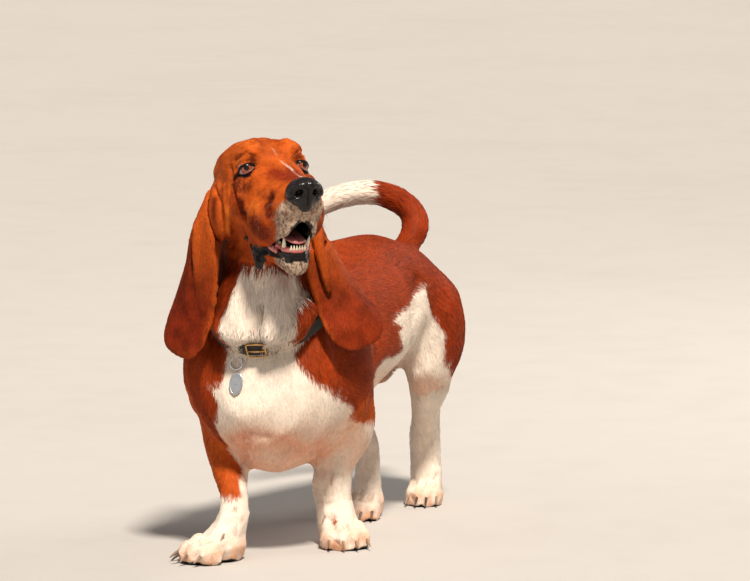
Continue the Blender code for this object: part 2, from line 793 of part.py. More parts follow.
# Collar: a strap round the base of the neck, in its own tilted frame.
COLLAR_AT = Vector((-0.006, -0.213, 0.337))
COLLAR_TILT = math.radians(33)
COLLAR = Matrix.Translation(COLLAR_AT) @ Matrix.Rotation(COLLAR_TILT, 4, "X")
COLLAR_HALF = (0.0800, 0.0905)
STRAP_WIDTH, STRAP_THICK = 0.020, 0.0035
BUCKLE_ANGLE = 6
BUCKLE_SIZE = (0.028, 0.003, 0.024)
RING_AT = (-0.029, 0.2665)
RING_RADIUS, RING_WIRE = 0.0085, 0.0013
TAG_AT = (-0.027, 0.2400)
TAG_HALF, TAG_THICK = (0.0095, 0.0150), 0.0018
COLLAR_STEPS = 24


def build_collar():
    bm = bmesh.new()
    rings = []
    for inset, rise in ((0, -1), (1, -1), (1, 1), (0, 1)):
        ring = bmesh.ops.create_circle(
            bm, cap_ends=False, radius=1.0, segments=COLLAR_STEPS
        )["verts"]
        for vert in ring:
            vert.co.x *= COLLAR_HALF[0] + STRAP_THICK * inset
            vert.co.y *= COLLAR_HALF[1] + STRAP_THICK * inset
            vert.co.z = STRAP_WIDTH / 2 * rise
        rings.append(ring)
    loops = [edges_within(ring) for ring in rings]
    for first, second in zip(loops, loops[1:] + loops[:1]):
        bmesh.ops.bridge_loops(bm, edges=first + second)
    obj = object_of("collar_strap", bm, material("strap", STRAP_BLACK, 0.6))
    obj.data.transform(COLLAR)
    return obj


def collar_point(angle, outward, rise=0.0):
    """A point beside the strap's outer face; angle 0 is the throat, positive to the dog's left."""
    turn = math.radians(angle)
    x = math.sin(turn) * (COLLAR_HALF[0] + STRAP_THICK + outward)
    y = -math.cos(turn) * (COLLAR_HALF[1] + STRAP_THICK + outward)
    return COLLAR @ Vector((x, y, rise))


def front_of(tree, x, z):
    """How far forward the surface stands at a place seen from straight ahead."""
    return tree.ray_cast(Vector((x, -1.0, z)), Vector((0, 1, 0)))[0].y


def hang_in_front(obj, place, half, gap):
    """The middle and the lean of a flat piece hung at (x, z), clear of the surface behind it."""
    tree = BVHTree.FromObject(obj, bpy.context.evaluated_depsgraph_get())
    x, z = place
    rise = 0.9 * half[1]
    low, high = front_of(tree, x, z - rise), front_of(tree, x, z + rise)
    slope = (high - low) / (2 * rise)
    steps = [k / 2 for k in range(-2, 3)]
    places = [(half[0] * a, half[1] * b) for a in steps for b in steps]
    y = min(front_of(tree, x + dx, z + dz) - slope * dz for dx, dz in places)
    return Vector((x, y - gap, z)), math.atan(slope)


def build_buckle():
    """A rounded plate on the strap at the throat."""
    bm = bmesh.new()
    at = collar_point(BUCKLE_ANGLE, BUCKLE_SIZE[1] / 2 + GAP)
    turn = Matrix.Rotation(COLLAR_TILT, 4, "X") @ Matrix.Rotation(math.radians(BUCKLE_ANGLE), 4, "Z")
    place = Matrix.Translation(at) @ turn @ Matrix.Diagonal((*BUCKLE_SIZE, 1))
    bmesh.ops.create_cube(bm, size=1.0, matrix=place)
    bmesh.ops.bevel(
        bm, geom=bm.edges[:], offset=0.0008, segments=1, profile=0.5, affect="EDGES", material=-1
    )
    return object_of("collar_buckle", bm, material("brass", BRASS, 0.3, 1.0))


def build_ring(chest):
    """The wire ring below the strap, spun round its own middle."""
    centre, lean = hang_in_front(chest, RING_AT, (RING_RADIUS, RING_RADIUS), 2 * RING_WIRE + GAP)
    bm = bmesh.new()
    place = Matrix.Translation(centre) @ Matrix.Rotation(-lean, 4, "X")
    upright = Matrix.Translation((0, 0, RING_RADIUS)) @ Matrix.Rotation(math.pi / 2, 4, "Y")
    section = bmesh.ops.create_circle(
        bm, cap_ends=False, radius=RING_WIRE, segments=6, matrix=place @ upright
    )["verts"]
    bmesh.ops.spin(
        bm,
        geom=section + edges_within(section),
        cent=centre,
        axis=place.to_3x3() @ Vector((0, 1, 0)),
        angle=2 * math.pi,
        steps=12,
        use_merge=True,
    )
    return object_of("tag_ring", bm, material("steel", STEEL, 0.25, 1.0))


def build_tag(chest):
    """A bare oval tag that lies against the chest."""
    centre, lean = hang_in_front(chest, TAG_AT, TAG_HALF, TAG_THICK + GAP)
    bm = bmesh.new()
    place = Matrix.Translation(centre) @ Matrix.Rotation(-lean, 4, "X")
    shape = Matrix.Diagonal((TAG_HALF[0], 1, TAG_HALF[1], 1)) @ Matrix.Rotation(math.pi / 2, 4, "X")
    bmesh.ops.create_cone(
        bm, cap_ends=True, segments=20, radius1=1, radius2=1, depth=TAG_THICK, matrix=place @ shape
    )
    return object_of("tag", bm, material("steel", STEEL, 0.25, 1.0))


def build_claws(name):
    """Four claws at the toe tips and, on a forepaw, the dewclaw on its inner side."""
    _, _, centre, heading, (width, length), _ = LEGS[name]
    frame = Matrix.Translation(Vector(centre)) @ Matrix.Rotation(math.radians(heading), 4, "Z")
    claws = []
    for number, slot in enumerate((-1.5, -0.5, 0.5, 1.5), start=1):
        outer = abs(slot) > 1
        reach = -length * (0.24 if outer else 0.34) - length * 0.155
        base = frame @ Vector((slot * width * 0.235, reach, 0.0145))
        ahead = frame.to_3x3() @ Vector((slot * 0.12, -1, -0.10))
        claws.append(build_claw(f"claw_{name}_{number}", base, ahead))
    if name.startswith("fore"):
        inner = 1 if name.endswith("right") else -1
        base = frame @ Vector((inner * width * 0.33, -length * 0.02, 0.040))
        ahead = frame.to_3x3() @ Vector((inner * 0.35, -0.8, -0.45))
        claws.append(build_claw(f"dewclaw_{name[5:]}", base, ahead))
    return claws


# The plane cuts that part the body, in order: node, a point on the plane, the normal towards the
# node, and the low and high corners of the box the cut works in. The four stubs are the parts of
# the legs that the paws stand in for.
DOWN, BACK = (0, 0, -1), (0, 1, 0)
COLLAR_UP = (0, -math.sin(COLLAR_TILT), math.cos(COLLAR_TILT))
TAIL_CUTS = (
    ("tail_tip", (-0.066, 0.210, 0.438), (-1, -0.5, 0), (-0.17, 0.08, 0.379), (-0.056, 0.30, 0.50)),
    (
        "tail_middle",
        (0.017, 0.274, 0.415),
        (-0.6, -0.1, 0.78),
        (-0.08, 0.18, 0.394),
        (0.07, 0.33, 0.50),
    ),
    ("tail_base", (0.029, 0.252, 0.376), (0, 0.75, 0.66), (-0.03, 0.20, 0.350), (0.09, 0.33, 0.46)),
)
STUB_CUTS = (
    ("fore_right", (-0.16, -0.37, -0.05), (0.01, -0.19, 0.12)),
    ("fore_left", (-0.02, -0.23, -0.05), (0.15, -0.02, 0.12)),
    ("hind_left", (0.018, 0.195, -0.05), (0.16, 0.36, 0.10)),
    ("hind_right", (-0.12, 0.03, -0.05), (0.08, 0.19, 0.10)),
)
BODY_CUTS = (
    (
        "forearm_right",
        (-0.062, -0.19, 0.150),
        (-0.75, 0, -0.66),
        (-0.20, -0.36, 0),
        (0.02, -0.05, 0.30),
    ),
    ("forearm_left", (0.058, -0.10, 0.150), (0.75, 0, -0.66), (-0.01, -0.30, 0), (0.20, 0.02, 0.30)),
    ("lower_leg_left", (0, 0, 0.172), DOWN, (0.018, 0.165, 0), (0.16, 0.36, 0.22)),
    ("lower_leg_right", (0, 0, 0.172), DOWN, (-0.12, 0.03, 0), (0.034, 0.184, 0.22)),
    ("thigh_left", (0.060, 0.19, 0.25), (1, 0, -0.2), (0.02, 0.095, 0.15), (0.18, 0.31, 0.40)),
    ("thigh_right", (-0.018, 0.19, 0.25), (-1, 0, -0.2), (-0.18, 0.080, 0.15), (0.01, 0.31, 0.40)),
    ("neck", COLLAR_AT, COLLAR_UP, (-0.16, -0.40, 0.24), (0.16, 0.0, 0.60)),
    ("rump", (0, 0.160, 0.27), BACK, (-0.2, 0.05, 0.05), (0.2, 0.35, 0.45)),
    ("loin", (0, 0.020, 0.27), BACK, (-0.2, -0.05, 0.05), (0.2, 0.2, 0.45)),
)


def part_body(body):
    """Cuts the fused body into its nodes; what is left over is the chest."""
    for cut in TAIL_CUTS:
        carve(body, *cut, red_coat())
    for name, low, high in STUB_CUTS:
        height = LEGS[name][-1]
        discard(carve(body, "stub_" + name, (0, 0, height), DOWN, low, high, red_coat()))
    for cut in BODY_CUTS:
        carve(body, *cut, red_coat())
    body.name = "chest"
    body.data.materials.append(red_coat())


def settle():
    """Moves every node so that the bounding box stands centred on the floor at the origin."""
    nodes = [o for o in bpy.data.objects if o.type == "MESH"]
    corners = [vert.co for o in nodes for vert in o.data.vertices]
    low = Vector([min(c[i] for c in corners) for i in range(3)])
    high = Vector([max(c[i] for c in corners) for i in range(3)])
    shift = Matrix.Translation(Vector((-(low.x + high.x) / 2, -(low.y + high.y) / 2, -low.z)))
    for obj in nodes:
        obj.data.transform(shift)
        obj.data.update()


def main():
    clear_scene()
    body = build_body()
    head = build_head()
    jaw = build_jaw()
    nose = build_nose()
    gums = build_lower_gums()
    tongue = build_tongue()
    eyes = [build_eye("eye_left", 1), build_eye("eye_right", -1)]
    ears = [build_ear("ear_right", RIGHT_EAR_LINE), build_ear("ear_left", LEFT_EAR_LINE)]
    cut_clear(nose, head)
    for eye in eyes:
        cut_clear(head, eye)
    cut_clear(jaw, head)
    cut_clear(gums, jaw)
    cut_clear(tongue, jaw)
    cut_clear(tongue, gums)
    cut_clear(tongue, head)
    strap = build_collar()
    cut_clear(body, strap)
    build_ring(body)
    build_tag(body)
    build_buckle()
    for ear in ears:
        for obj in (head, body, strap):
            cut_clear(ear, obj)
    part_body(body)
    for name in LEGS:
        paw = build_paw(name)
        for claw in build_claws(name):
            cut_clear(paw, claw)
    settle()


if __name__ == "__main__":
    main()
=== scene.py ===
"""A life-size basset hound: one skin, a short coat in tufts, eyes, mouth, claws and a collar with its tag."""
import math

import bmesh
import bpy
import numpy as np
from bpy.props import FloatProperty, FloatVectorProperty, IntProperty, PointerProperty
from mathutils import Matrix, Vector
from mathutils.bvhtree import BVHTree


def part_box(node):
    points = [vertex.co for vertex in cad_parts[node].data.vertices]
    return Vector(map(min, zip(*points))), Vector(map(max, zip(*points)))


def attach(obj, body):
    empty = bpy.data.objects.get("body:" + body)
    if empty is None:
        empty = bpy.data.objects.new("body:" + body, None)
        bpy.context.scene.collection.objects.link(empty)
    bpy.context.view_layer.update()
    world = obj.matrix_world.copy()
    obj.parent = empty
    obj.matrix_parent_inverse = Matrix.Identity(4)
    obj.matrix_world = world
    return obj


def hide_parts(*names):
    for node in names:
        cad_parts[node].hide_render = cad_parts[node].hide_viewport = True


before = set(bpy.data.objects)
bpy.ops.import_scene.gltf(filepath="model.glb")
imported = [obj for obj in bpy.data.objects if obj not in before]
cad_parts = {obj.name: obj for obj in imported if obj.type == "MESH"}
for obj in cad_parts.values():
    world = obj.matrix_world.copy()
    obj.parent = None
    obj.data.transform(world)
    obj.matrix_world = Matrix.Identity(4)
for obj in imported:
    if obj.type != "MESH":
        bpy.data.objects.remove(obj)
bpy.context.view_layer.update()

bl_info = {
    "name": "Basset hound",
    "version": (1, 0, 0),
    "blender": (4, 5, 0),
    "location": "View3D > Sidebar > Basset",
    "description": "Builds the skin, coat, eyes, mouth, claws, collar and studio of a standing basset hound",
    "category": "Object",
}

SEED = 11


def metres(sizes):
    """Millimetres, in tuples of any depth, as metres."""
    if isinstance(sizes, tuple):
        return tuple(metres(size) for size in sizes)
    return sizes * 0.001


def turned(degrees, axis):
    return Matrix.Rotation(math.radians(degrees), 4, axis)


def heading(outward, rise):
    """The unit vector that far outward from straight ahead (-Y) toward +X, and upward, in degrees."""
    a, b = math.radians(outward), math.radians(rise)
    return Vector((math.sin(a) * math.cos(b), -math.cos(a) * math.cos(b), math.sin(b)))


# The head's own frame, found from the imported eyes: -Y to the nose, +X to the dog's left.
EYE_SPACING = 0.073
EYE_BOX = [Vector(corner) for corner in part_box("eye_left")]
EYE_LEFT = (EYE_BOX[0] + EYE_BOX[1]) / 2
EYE_RADIUS = (EYE_BOX[1] - EYE_BOX[0]).z / 2
HEAD_TURN = turned(41, "Z") @ turned(-9, "X") @ turned(-1, "Y")
HEAD = Matrix.Translation(EYE_LEFT - HEAD_TURN @ Vector((EYE_SPACING / 2, 0, 0))) @ HEAD_TURN
# The lower jaw's frame: the head's, opened about the hinge.
JAW_HINGE = Vector((0.0, 0.030, -0.062))
JAW = HEAD @ Matrix.Translation(JAW_HINGE) @ turned(19, "X") @ Matrix.Translation(-JAW_HINGE)
DOG = Matrix.Identity(4)
# Where the construction's origin stands here, for the outlines that repeat its sizes.
ORIGIN = HEAD.translation - Vector((0.030, -0.300, 0.530))

# Each part of the skin: rounds of softening, then in millimetres how deep it lies under the coat's
# surface, the tufts' length and width there, and how far their tips stand off.
PART_KINDS = {
    "chest": (70, 1.4, 11.0, 0.8, 0.7),
    "loin": (110, 1.4, 11.0, 0.8, 0.7),
    "rump": (70, 1.4, 11.0, 0.8, 0.7),
    "thigh": (55, 1.5, 12.0, 0.9, 0.9),
    "forearm": (22, 1.2, 8.5, 0.8, 0.8),
    "lower_leg": (16, 1.2, 8.5, 0.8, 0.8),
    "paw": (3, 0.8, 5.5, 0.6, 0.6),
    "tail_base": (20, 1.8, 15.0, 0.9, 1.2),
    "tail_middle": (20, 1.8, 16.0, 0.9, 1.4),
    "tail_tip": (18, 1.8, 16.0, 0.9, 1.4),
    "neck": (26, 1.6, 15.0, 0.9, 1.1),
    "head": (9, 0.9, 5.5, 0.6, 0.5),
    "jaw": (6, 0.9, 5.0, 0.6, 0.6),
    "ear": (12, 0.8, 6.5, 0.7, 0.5),
}
PARTS = {
    name: (values[0], *metres(values[1:]))
    for kind, values in PART_KINDS.items()
    for name in sorted(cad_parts)
    if name == kind or name.startswith(kind + "_")
}
PART_NAMES = list(PARTS)
EAR_NODES = ("ear_left", "ear_right")
SHAPE_NODES = [name for name in PART_NAMES if name not in EAR_NODES]
ROUNDS, DEPTH, LENGTH, WIDTH, LIFT = range(5)

# Each paw: the middle of its sole, its heading outward from straight ahead, its width and length.
PAWS = {
    "fore_right": ((-0.060, -0.287), -34, (0.074, 0.098)),
    "fore_left": ((0.057, -0.118), 34, (0.074, 0.098)),
    "hind_left": ((0.046, 0.256), 12, (0.057, 0.086)),
    "hind_right": ((0.008, 0.110), 4, (0.058, 0.088)),
}
# The tail's middle line in the construction.
TAIL_LINE = metres((
    (20, 195, 342), (19, 234, 362), (28.5, 262, 388), (20, 274, 413), (-5, 264, 434),
    (-37, 240, 443), (-68, 208, 438), (-95, 174, 423), (-116, 142, 404), (-129, 118, 389),
))


# Plain sums on arrays.


def unit(vectors):
    return vectors / np.maximum(np.linalg.norm(vectors, axis=-1, keepdims=True), 1e-9)


def eased(value):
    value = np.clip(value, 0.0, 1.0)
    return value * value * (3 - 2 * value)


def mixed(first, second, share):
    """The first where share is 0 and the second where it is 1."""
    share = np.asarray(share)
    if share.ndim:
        share = share[:, None]
    return np.asarray(first) * (1 - share) + np.asarray(second) * share


def tinted(colour, factor, share):
    return mixed(colour, colour * factor, share)


def moved(points, matrix):
    matrix = np.array(matrix)
    return points @ matrix[:3, :3].T + matrix[:3, 3]


def in_head(points):
    return moved(points, HEAD.inverted())


def one_side(local):
    """Places of both sides of the head laid over its left side."""
    return np.abs(local) * (1, 0, 0) + local * (0, 1, 1)


def lattice(cells):
    """A repeatable number from 0 to 1 for each whole-numbered place."""
    mix = cells[:, 0] * 73856093 ^ cells[:, 1] * 19349663 ^ cells[:, 2] * 83492791
    mix = (mix ^ (mix >> 13)) * 1274126177
    return ((mix ^ (mix >> 16)) & 0xFFFF) / 65535.0


def soft_noise(points, size):
    """Smooth noise from -1 to 1, in blobs of that size."""
    place = points / size
    corner = np.floor(place).astype(np.int64)
    part = eased(place - corner)
    total = np.zeros(len(points))
    for step in np.ndindex(2, 2, 2):
        weight = np.where(np.array(step) == 1, part, 1 - part).prod(axis=1)
        total += weight * lattice(corner + np.array(step))
    return 2 * total - 1


def outside(points, line):
    """How far each point is outside a tapering stroke through rows (x, y, z, radius)."""
    best = np.full(len(points), 9.0)
    rows = [np.array(row, float) for row in line]
    for first, second in zip(rows, rows[1:] or rows):
        along = second[:3] - first[:3]
        share = np.clip((points - first[:3]) @ along / max(along @ along, 1e-12), 0, 1)
        away = np.linalg.norm(points - first[:3] - share[:, None] * along, axis=1)
        best = np.minimum(best, away - first[3] - share * (second[3] - first[3]))
    return best


def on_stroke(points, line, width):
    """1 on a stroke, fading to 0 over about that width beyond its edge."""
    return np.exp(-((np.maximum(outside(points, line), 0) / width) ** 2))


def with_radius(line, radius):
    return [(*row, radius) for row in line]


def depth_in_outline(flat, outline):
    """Signed distance from the edge of a closed outline in a plane, positive inside."""
    corners = np.array(outline, float)
    best = np.full(len(flat), 9.0)
    inside = np.zeros(len(flat), bool)
    for first, second in zip(corners, np.roll(corners, -1, axis=0)):
        along = second - first
        share = np.clip((flat - first) @ along / max(along @ along, 1e-12), 0, 1)
        best = np.minimum(best, np.linalg.norm(flat - first - share[:, None] * along, axis=1))
        spans = (first[1] > flat[:, 1]) != (second[1] > flat[:, 1])
        rise = along[1] if abs(along[1]) > 1e-9 else 1e-9
        inside ^= spans & (flat[:, 0] < first[0] + (flat[:, 1] - first[1]) * along[0] / rise)
    return np.where(inside, best, -best)


def table(heights, rows, column):
    """A value read from rows by their first entry."""
    rows = sorted(rows)
    return np.interp(heights, [row[0] for row in rows], [row[column] for row in rows])


# Objects and meshes.


def link(name, data, *materials):
    obj = bpy.data.objects.new(name, data)
    bpy.context.scene.collection.objects.link(obj)
    for finish in materials:
        data.materials.append(finish)
    return obj


def object_from(name, bm, *materials, smooth=True):
    mesh = bpy.data.meshes.new(name)
    for face in bm.faces:
        face.smooth = smooth
    bm.to_mesh(mesh)
    bm.free()
    return link(name, mesh, *materials)


def with_modifier(obj, kind, **values):
    """Replaces the object's mesh by what the modifier makes of it."""
    modifier = obj.modifiers.new(kind.lower(), kind)
    for name, value in values.items():
        setattr(modifier, name, value)
    graph = bpy.context.evaluated_depsgraph_get()
    made = bpy.data.meshes.new_from_object(obj.evaluated_get(graph))
    old = obj.data
    obj.modifiers.clear()
    obj.data = made
    bpy.data.meshes.remove(old)
    return obj


def rounded_off(obj, levels):
    return with_modifier(obj, "SUBSURF", levels=levels, render_levels=levels)


def discard(obj):
    mesh = obj.data
    bpy.data.objects.remove(obj)
    bpy.data.meshes.remove(mesh)


def finished(obj, slot, *nodes):
    """Rides the piece on the body, in place of the construction's nodes; the slot is not used."""
    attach(obj, "root")
    if nodes:
        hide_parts(*nodes)
    return obj


def dressed(obj, name, finish, slot, *nodes):
    """Names a smooth piece and finishes it in its material."""
    obj.name = obj.data.name = name
    obj.data.materials.append(finish)
    obj.data.shade_smooth()
    return finished(obj, slot, *nodes)


def nodes_mesh(names):
    bm = bmesh.new()
    for name in names:
        bm.from_mesh(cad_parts[name].data)
    bmesh.ops.remove_doubles(bm, verts=bm.verts, dist=1e-6)
    return bm


def edges_within(verts):
    kept = set(verts)
    touching = {edge for vert in verts for edge in vert.link_edges}
    return [edge for edge in touching if edge.verts[0] in kept and edge.verts[1] in kept]


def ball(bm, centre, radii, place=DOG, turn=0.0, detail=3):
    place = place @ Matrix.Translation(Vector(centre)) @ turned(turn, "Z")
    bmesh.ops.create_icosphere(
        bm, subdivisions=detail, radius=1.0, matrix=place @ Matrix.Diagonal((*radii, 1.0))
    )


def rope(bm, rows, segments=12, flat=1.0, place=DOG):
    """A closed round tube through rows (x, y, z, radius)."""
    centres = [place @ Vector(row[:3]) for row in rows]
    rings = []
    side = Vector((1, 0, 0))
    for i, row in enumerate(rows):
        along = (centres[min(i + 1, len(rows) - 1)] - centres[max(i - 1, 0)]).normalized()
        if abs(along.dot(side)) > 0.9:
            side = Vector((0, 1, 0))
        side = (side - along * side.dot(along)).normalized()
        up = along.cross(side)
        ring = bmesh.ops.create_circle(bm, cap_ends=False, radius=row[3], segments=segments)["verts"]
        for vert in ring:
            vert.co = centres[i] + side * vert.co.x + up * vert.co.y * flat
        rings.append(ring)
    loops = [edges_within(ring) for ring in rings]
    for first, second in zip(loops, loops[1:]):
        bmesh.ops.bridge_loops(bm, edges=first + second)
    for end in (rings[0], rings[-1]):
        bmesh.ops.contextual_create(bm, geom=end)
    bmesh.ops.recalc_face_normals(bm, faces=bm.faces)


def spun(bm, section, steps, place, stretch=1.0):
    """A hoop: the section's ring of points turned about Z, drawn out along Y, in a frame."""
    geom = section + edges_within(section)
    bmesh.ops.spin(
        bm, geom=geom, cent=(0, 0, 0), axis=(0, 0, 1), angle=2 * math.pi, steps=steps, use_merge=True
    )
    bmesh.ops.scale(bm, vec=(1, stretch, 1), verts=bm.verts)
    bmesh.ops.recalc_face_normals(bm, faces=bm.faces)
    bmesh.ops.transform(bm, matrix=place, verts=bm.verts)


def voxel_mesh(bm, size):
    """One closed mesh of square faces round all the overlapping closed shapes."""
    return with_modifier(object_from("shell", bm), "REMESH", mode="VOXEL", voxel_size=size)


class Surface:
    """A mesh's points and triangles as arrays, with each point's neighbours."""

    def __init__(self, mesh):
        self.mesh = mesh
        self.points = read(mesh.vertices, "co", float).reshape(-1, 3)
        self.edges = read(mesh.edges, "vertices", np.int32, 2).reshape(-1, 2)
        self.count = np.maximum(np.bincount(self.edges.ravel(), minlength=len(self.points)), 1)
        mesh.calc_loop_triangles()
        self.triangles = read(mesh.loop_triangles, "vertices", np.int32).reshape(-1, 3)

    def spread(self, values):
        """Each point's mean over its neighbours."""
        first, second = self.edges.T
        if values.ndim == 1:
            total = np.bincount(first, values[second], len(values))
            return (total + np.bincount(second, values[first], len(values))) / self.count
        return np.stack([self.spread(column) for column in values.T], axis=1)

    def blurred(self, values, rounds):
        for _ in range(rounds):
            values = (values + self.spread(values)) / 2
        return values

    def soften(self, rounds, pull=0.5):
        """Averages each point with its neighbours for its own number of rounds."""
        rounds = np.broadcast_to(rounds, len(self.points)).astype(float)
        for turn in range(math.ceil(rounds.max())):
            share = np.clip(rounds - turn, 0, 1)[:, None] * pull
            self.points += (self.spread(self.points) - self.points) * share

    def normals(self):
        a, b, c = (self.points[self.triangles[:, k]] for k in range(3))
        across = np.cross(b - a, c - a)
        total = np.zeros_like(self.points)
        for axis in range(3):
            for corner in range(3):
                total[:, axis] += np.bincount(
                    self.triangles[:, corner], across[:, axis], len(self.points)
                )
        return unit(total)

    def tree(self):
        return BVHTree.FromPolygons(self.points.tolist(), self.triangles.tolist())

    def write(self):
        self.mesh.vertices.foreach_set("co", self.points.ravel())
        self.mesh.update()


def read(items, field, kind, width=3):
    """One field of all a mesh's items as a flat array, width numbers for each."""
    values = np.empty(len(items) * width, kind)
    items.foreach_get(field, values)
    return values


# Settings a user would change.


def colour_property(name, description, value):
    return FloatVectorProperty(
        name=name, description=description, subtype="COLOR", size=3, min=0, max=1, default=value
    )


class CoatSettings(bpy.types.PropertyGroup):
    tufts: IntProperty(
        name="Tufts", description="Number of tufts in the whole coat", default=132000, min=1000
    )
    length: FloatProperty(
        name="Length", description="Coat length as a share of the usual one", default=1.0, subtype="FACTOR"
    )
    red: colour_property("Red", "The trunk's red-brown hair", (0.285, 0.036, 0.0055))
    orange: colour_property("Orange", "The brighter hair of head and legs", (0.500, 0.086, 0.0110))
    mahogany: colour_property("Mahogany", "The dark hair of the lower ears", (0.170, 0.017, 0.0040))
    white: colour_property("White", "Chest, belly, legs and tail tip", (0.850, 0.720, 0.600))
    ticking: colour_property("Ticking", "The muzzle's cream hair", (0.560, 0.420, 0.310))


class SkinSettings(bpy.types.PropertyGroup):
    grain: FloatProperty(
        name="Mesh size", description="Size of the skin's faces", default=0.0021, unit="LENGTH"
    )
    folds: FloatProperty(
        name="Folds", description="Depth of the skin's folds", default=1.35, subtype="FACTOR"
    )
    dark: colour_property("Dark skin", "Lips, lid rims and nose", (0.0075, 0.0050, 0.0045))
    flesh: colour_property("Flesh", "Gums and tongue", (0.560, 0.130, 0.120))


class WearSettings(bpy.types.PropertyGroup):
    strap_width: FloatProperty(
        name="Strap width", description="Width of the collar", default=0.019, unit="LENGTH"
    )
    strap_thickness: FloatProperty(
        name="Strap thickness", description="Thickness of the collar", default=0.0035, unit="LENGTH"
    )
    leather: colour_property("Leather", "The collar's leather", (0.012, 0.007, 0.005))


class StudioSettings(bpy.types.PropertyGroup):
    key_power: FloatProperty(
        name="Sun", description="Strength of the main light", default=5.2, min=0
    )
    floor: colour_property("Floor", "The studio floor", (0.50, 0.47, 0.44))


SETTINGS = {
    "basset_coat": CoatSettings,
    "basset_skin": SkinSettings,
    "basset_wear": WearSettings,
    "basset_studio": StudioSettings,
}


def settings(name):
    return getattr(bpy.context.scene, name)


# Finishes, and the shader effects that they share.


def node(tree, kind, values, **options):
    """A shader node with its options set, and its inputs filled with links, numbers or colours."""
    made = tree.nodes.new("ShaderNode" + kind)
    for name, option in options.items():
        setattr(made, name, option)
    fill(tree, made, values)
    return made


def fill(tree, made, values):
    for key, value in values.items():
        if hasattr(value, "is_output"):
            tree.links.new(value, made.inputs[key])
        else:
            made.inputs[key].default_value = value


def maths(tree, operation, first, second):
    return node(tree, "Math", {0: first, 1: second}, operation=operation).outputs[0]


def noise(tree, where, scale, detail=3.0):
    values = {"Vector": where, "Scale": scale, "Detail": detail, "Roughness": 0.55}
    return node(tree, "TexNoise", values).outputs["Fac"]


def mix_colours(tree, blend, share, first, second):
    values = {0: share, 6: first, 7: second}
    return node(tree, "Mix", values, data_type="RGBA", blend_type=blend).outputs[2]


def effect(name, inputs, outputs):
    """A new node group: its tree, its input sockets, its end node and the object's own places."""
    group = bpy.data.node_groups.new(name, "ShaderNodeTree")
    for title, value in inputs.items():
        kind = "NodeSocketColor" if isinstance(value, tuple) else "NodeSocketFloat"
        group.interface.new_socket(title, in_out="INPUT", socket_type=kind).default_value = value
    for title in outputs:
        kind = "NodeSocketColor" if title == "Colour" else "NodeSocketFloat"
        group.interface.new_socket(title, in_out="OUTPUT", socket_type=kind)
    place = group.nodes.new("ShaderNodeTexCoord").outputs["Object"]
    return group, group.nodes.new("NodeGroupInput").outputs, group.nodes.new("NodeGroupOutput"), place


def mottle_effect():
    """Colour that varies softly in two sizes, as hair, hide and horn do."""
    inputs = {"Colour": (0.5, 0.5, 0.5, 1), "Scale": 60.0, "Amount": 0.3}
    group, given, out, place = effect("mottle", inputs, ("Colour", "Mask"))
    broad = noise(group, place, given["Scale"])
    fine = noise(group, place, maths(group, "MULTIPLY", given["Scale"], 7.0), 2.0)
    level = maths(group, "MULTIPLY", maths(group, "MULTIPLY", broad, fine), 4.0)
    dimmed = mix_colours(group, "MULTIPLY", 1.0, given["Colour"], (0.45, 0.42, 0.40, 1))
    share = maths(group, "MULTIPLY", maths(group, "SUBTRACT", 1.25, level), given["Amount"])
    clamped = node(group, "Clamp", {0: share}).outputs[0]
    fill(group, out, {"Colour": mix_colours(group, "MIX", clamped, given["Colour"], dimmed), "Mask": level})
    return group


def grain_effect():
    """Height of small cells and fine noise, for leather, wet skin and horn."""
    group, given, out, place = effect("grain", {"Scale": 800.0, "Cells": 0.6}, ("Height",))
    values = {"Vector": place, "Scale": given["Scale"]}
    cells = node(group, "TexVoronoi", values, feature="SMOOTH_F1").outputs["Distance"]
    raised = maths(group, "MULTIPLY", maths(group, "SUBTRACT", 1.0, cells), given["Cells"])
    fill(group, out, {"Height": maths(group, "ADD", raised, noise(group, place, given["Scale"], 4.0))})
    return group


def placed_effect(tree, name, build, values):
    """A shared effect in this tree, built on first use."""
    return node(tree, "Group", values, node_tree=bpy.data.node_groups.get(name) or build()).outputs


def material(name, colour, roughness, grain, bump, amount=0.3, scale=70.0, cells=0.6, **sockets):
    """A mottled colour with a fine grain; a colour given as a word is the one painted on the mesh."""
    finish = bpy.data.materials.new(name)
    finish.use_nodes = True
    tree = finish.node_tree
    if isinstance(colour, str):
        colour = node(tree, "Attribute", {}, attribute_name=colour).outputs["Color"]
    else:
        colour = (*colour, 1)
    values = {"Colour": colour, "Scale": scale, "Amount": amount}
    mottle = placed_effect(tree, "mottle", mottle_effect, values)
    rough = node(tree, "MapRange", {"Value": mottle["Mask"], "To Min": roughness[0], "To Max": roughness[1]})
    height = placed_effect(tree, "grain", grain_effect, {"Scale": grain, "Cells": cells})["Height"]
    raised = node(tree, "Bump", {"Height": height, "Distance": bump, "Strength": 1.0})
    shader = tree.nodes["Principled BSDF"]
    fill(tree, shader, {"Base Color": mottle["Colour"], "Roughness": rough.outputs["Result"]})
    fill(tree, shader, {"Normal": raised.outputs["Normal"]})
    fill(tree, shader, {title.replace("_", " "): value for title, value in sockets.items()})
    return finish


def coat_material():
    return material(
        "coat_hair", "coat", (0.36, 0.52), 1400.0, 0.0002, cells=0.5, Specular_IOR_Level=0.09,
        Sheen_Weight=0.03, Sheen_Roughness=0.35, Sheen_Tint=(1.0, 0.55, 0.32, 1),
    )


def skin_material():
    """Hide under the coat; the painted bare mask makes lips and rims wet."""
    finish = material(
        "skin_hide", "coat", (0.42, 0.60), 900.0, 0.0003, cells=0.5, Specular_IOR_Level=0.05,
        Coat_Roughness=0.08,
    )
    tree = finish.node_tree
    bare = node(tree, "Attribute", {}, attribute_name="bare").outputs["Fac"]
    wet = maths(tree, "MULTIPLY", bare, 0.45)
    fill(tree, tree.nodes["Principled BSDF"], {"Coat Weight": wet})
    return finish


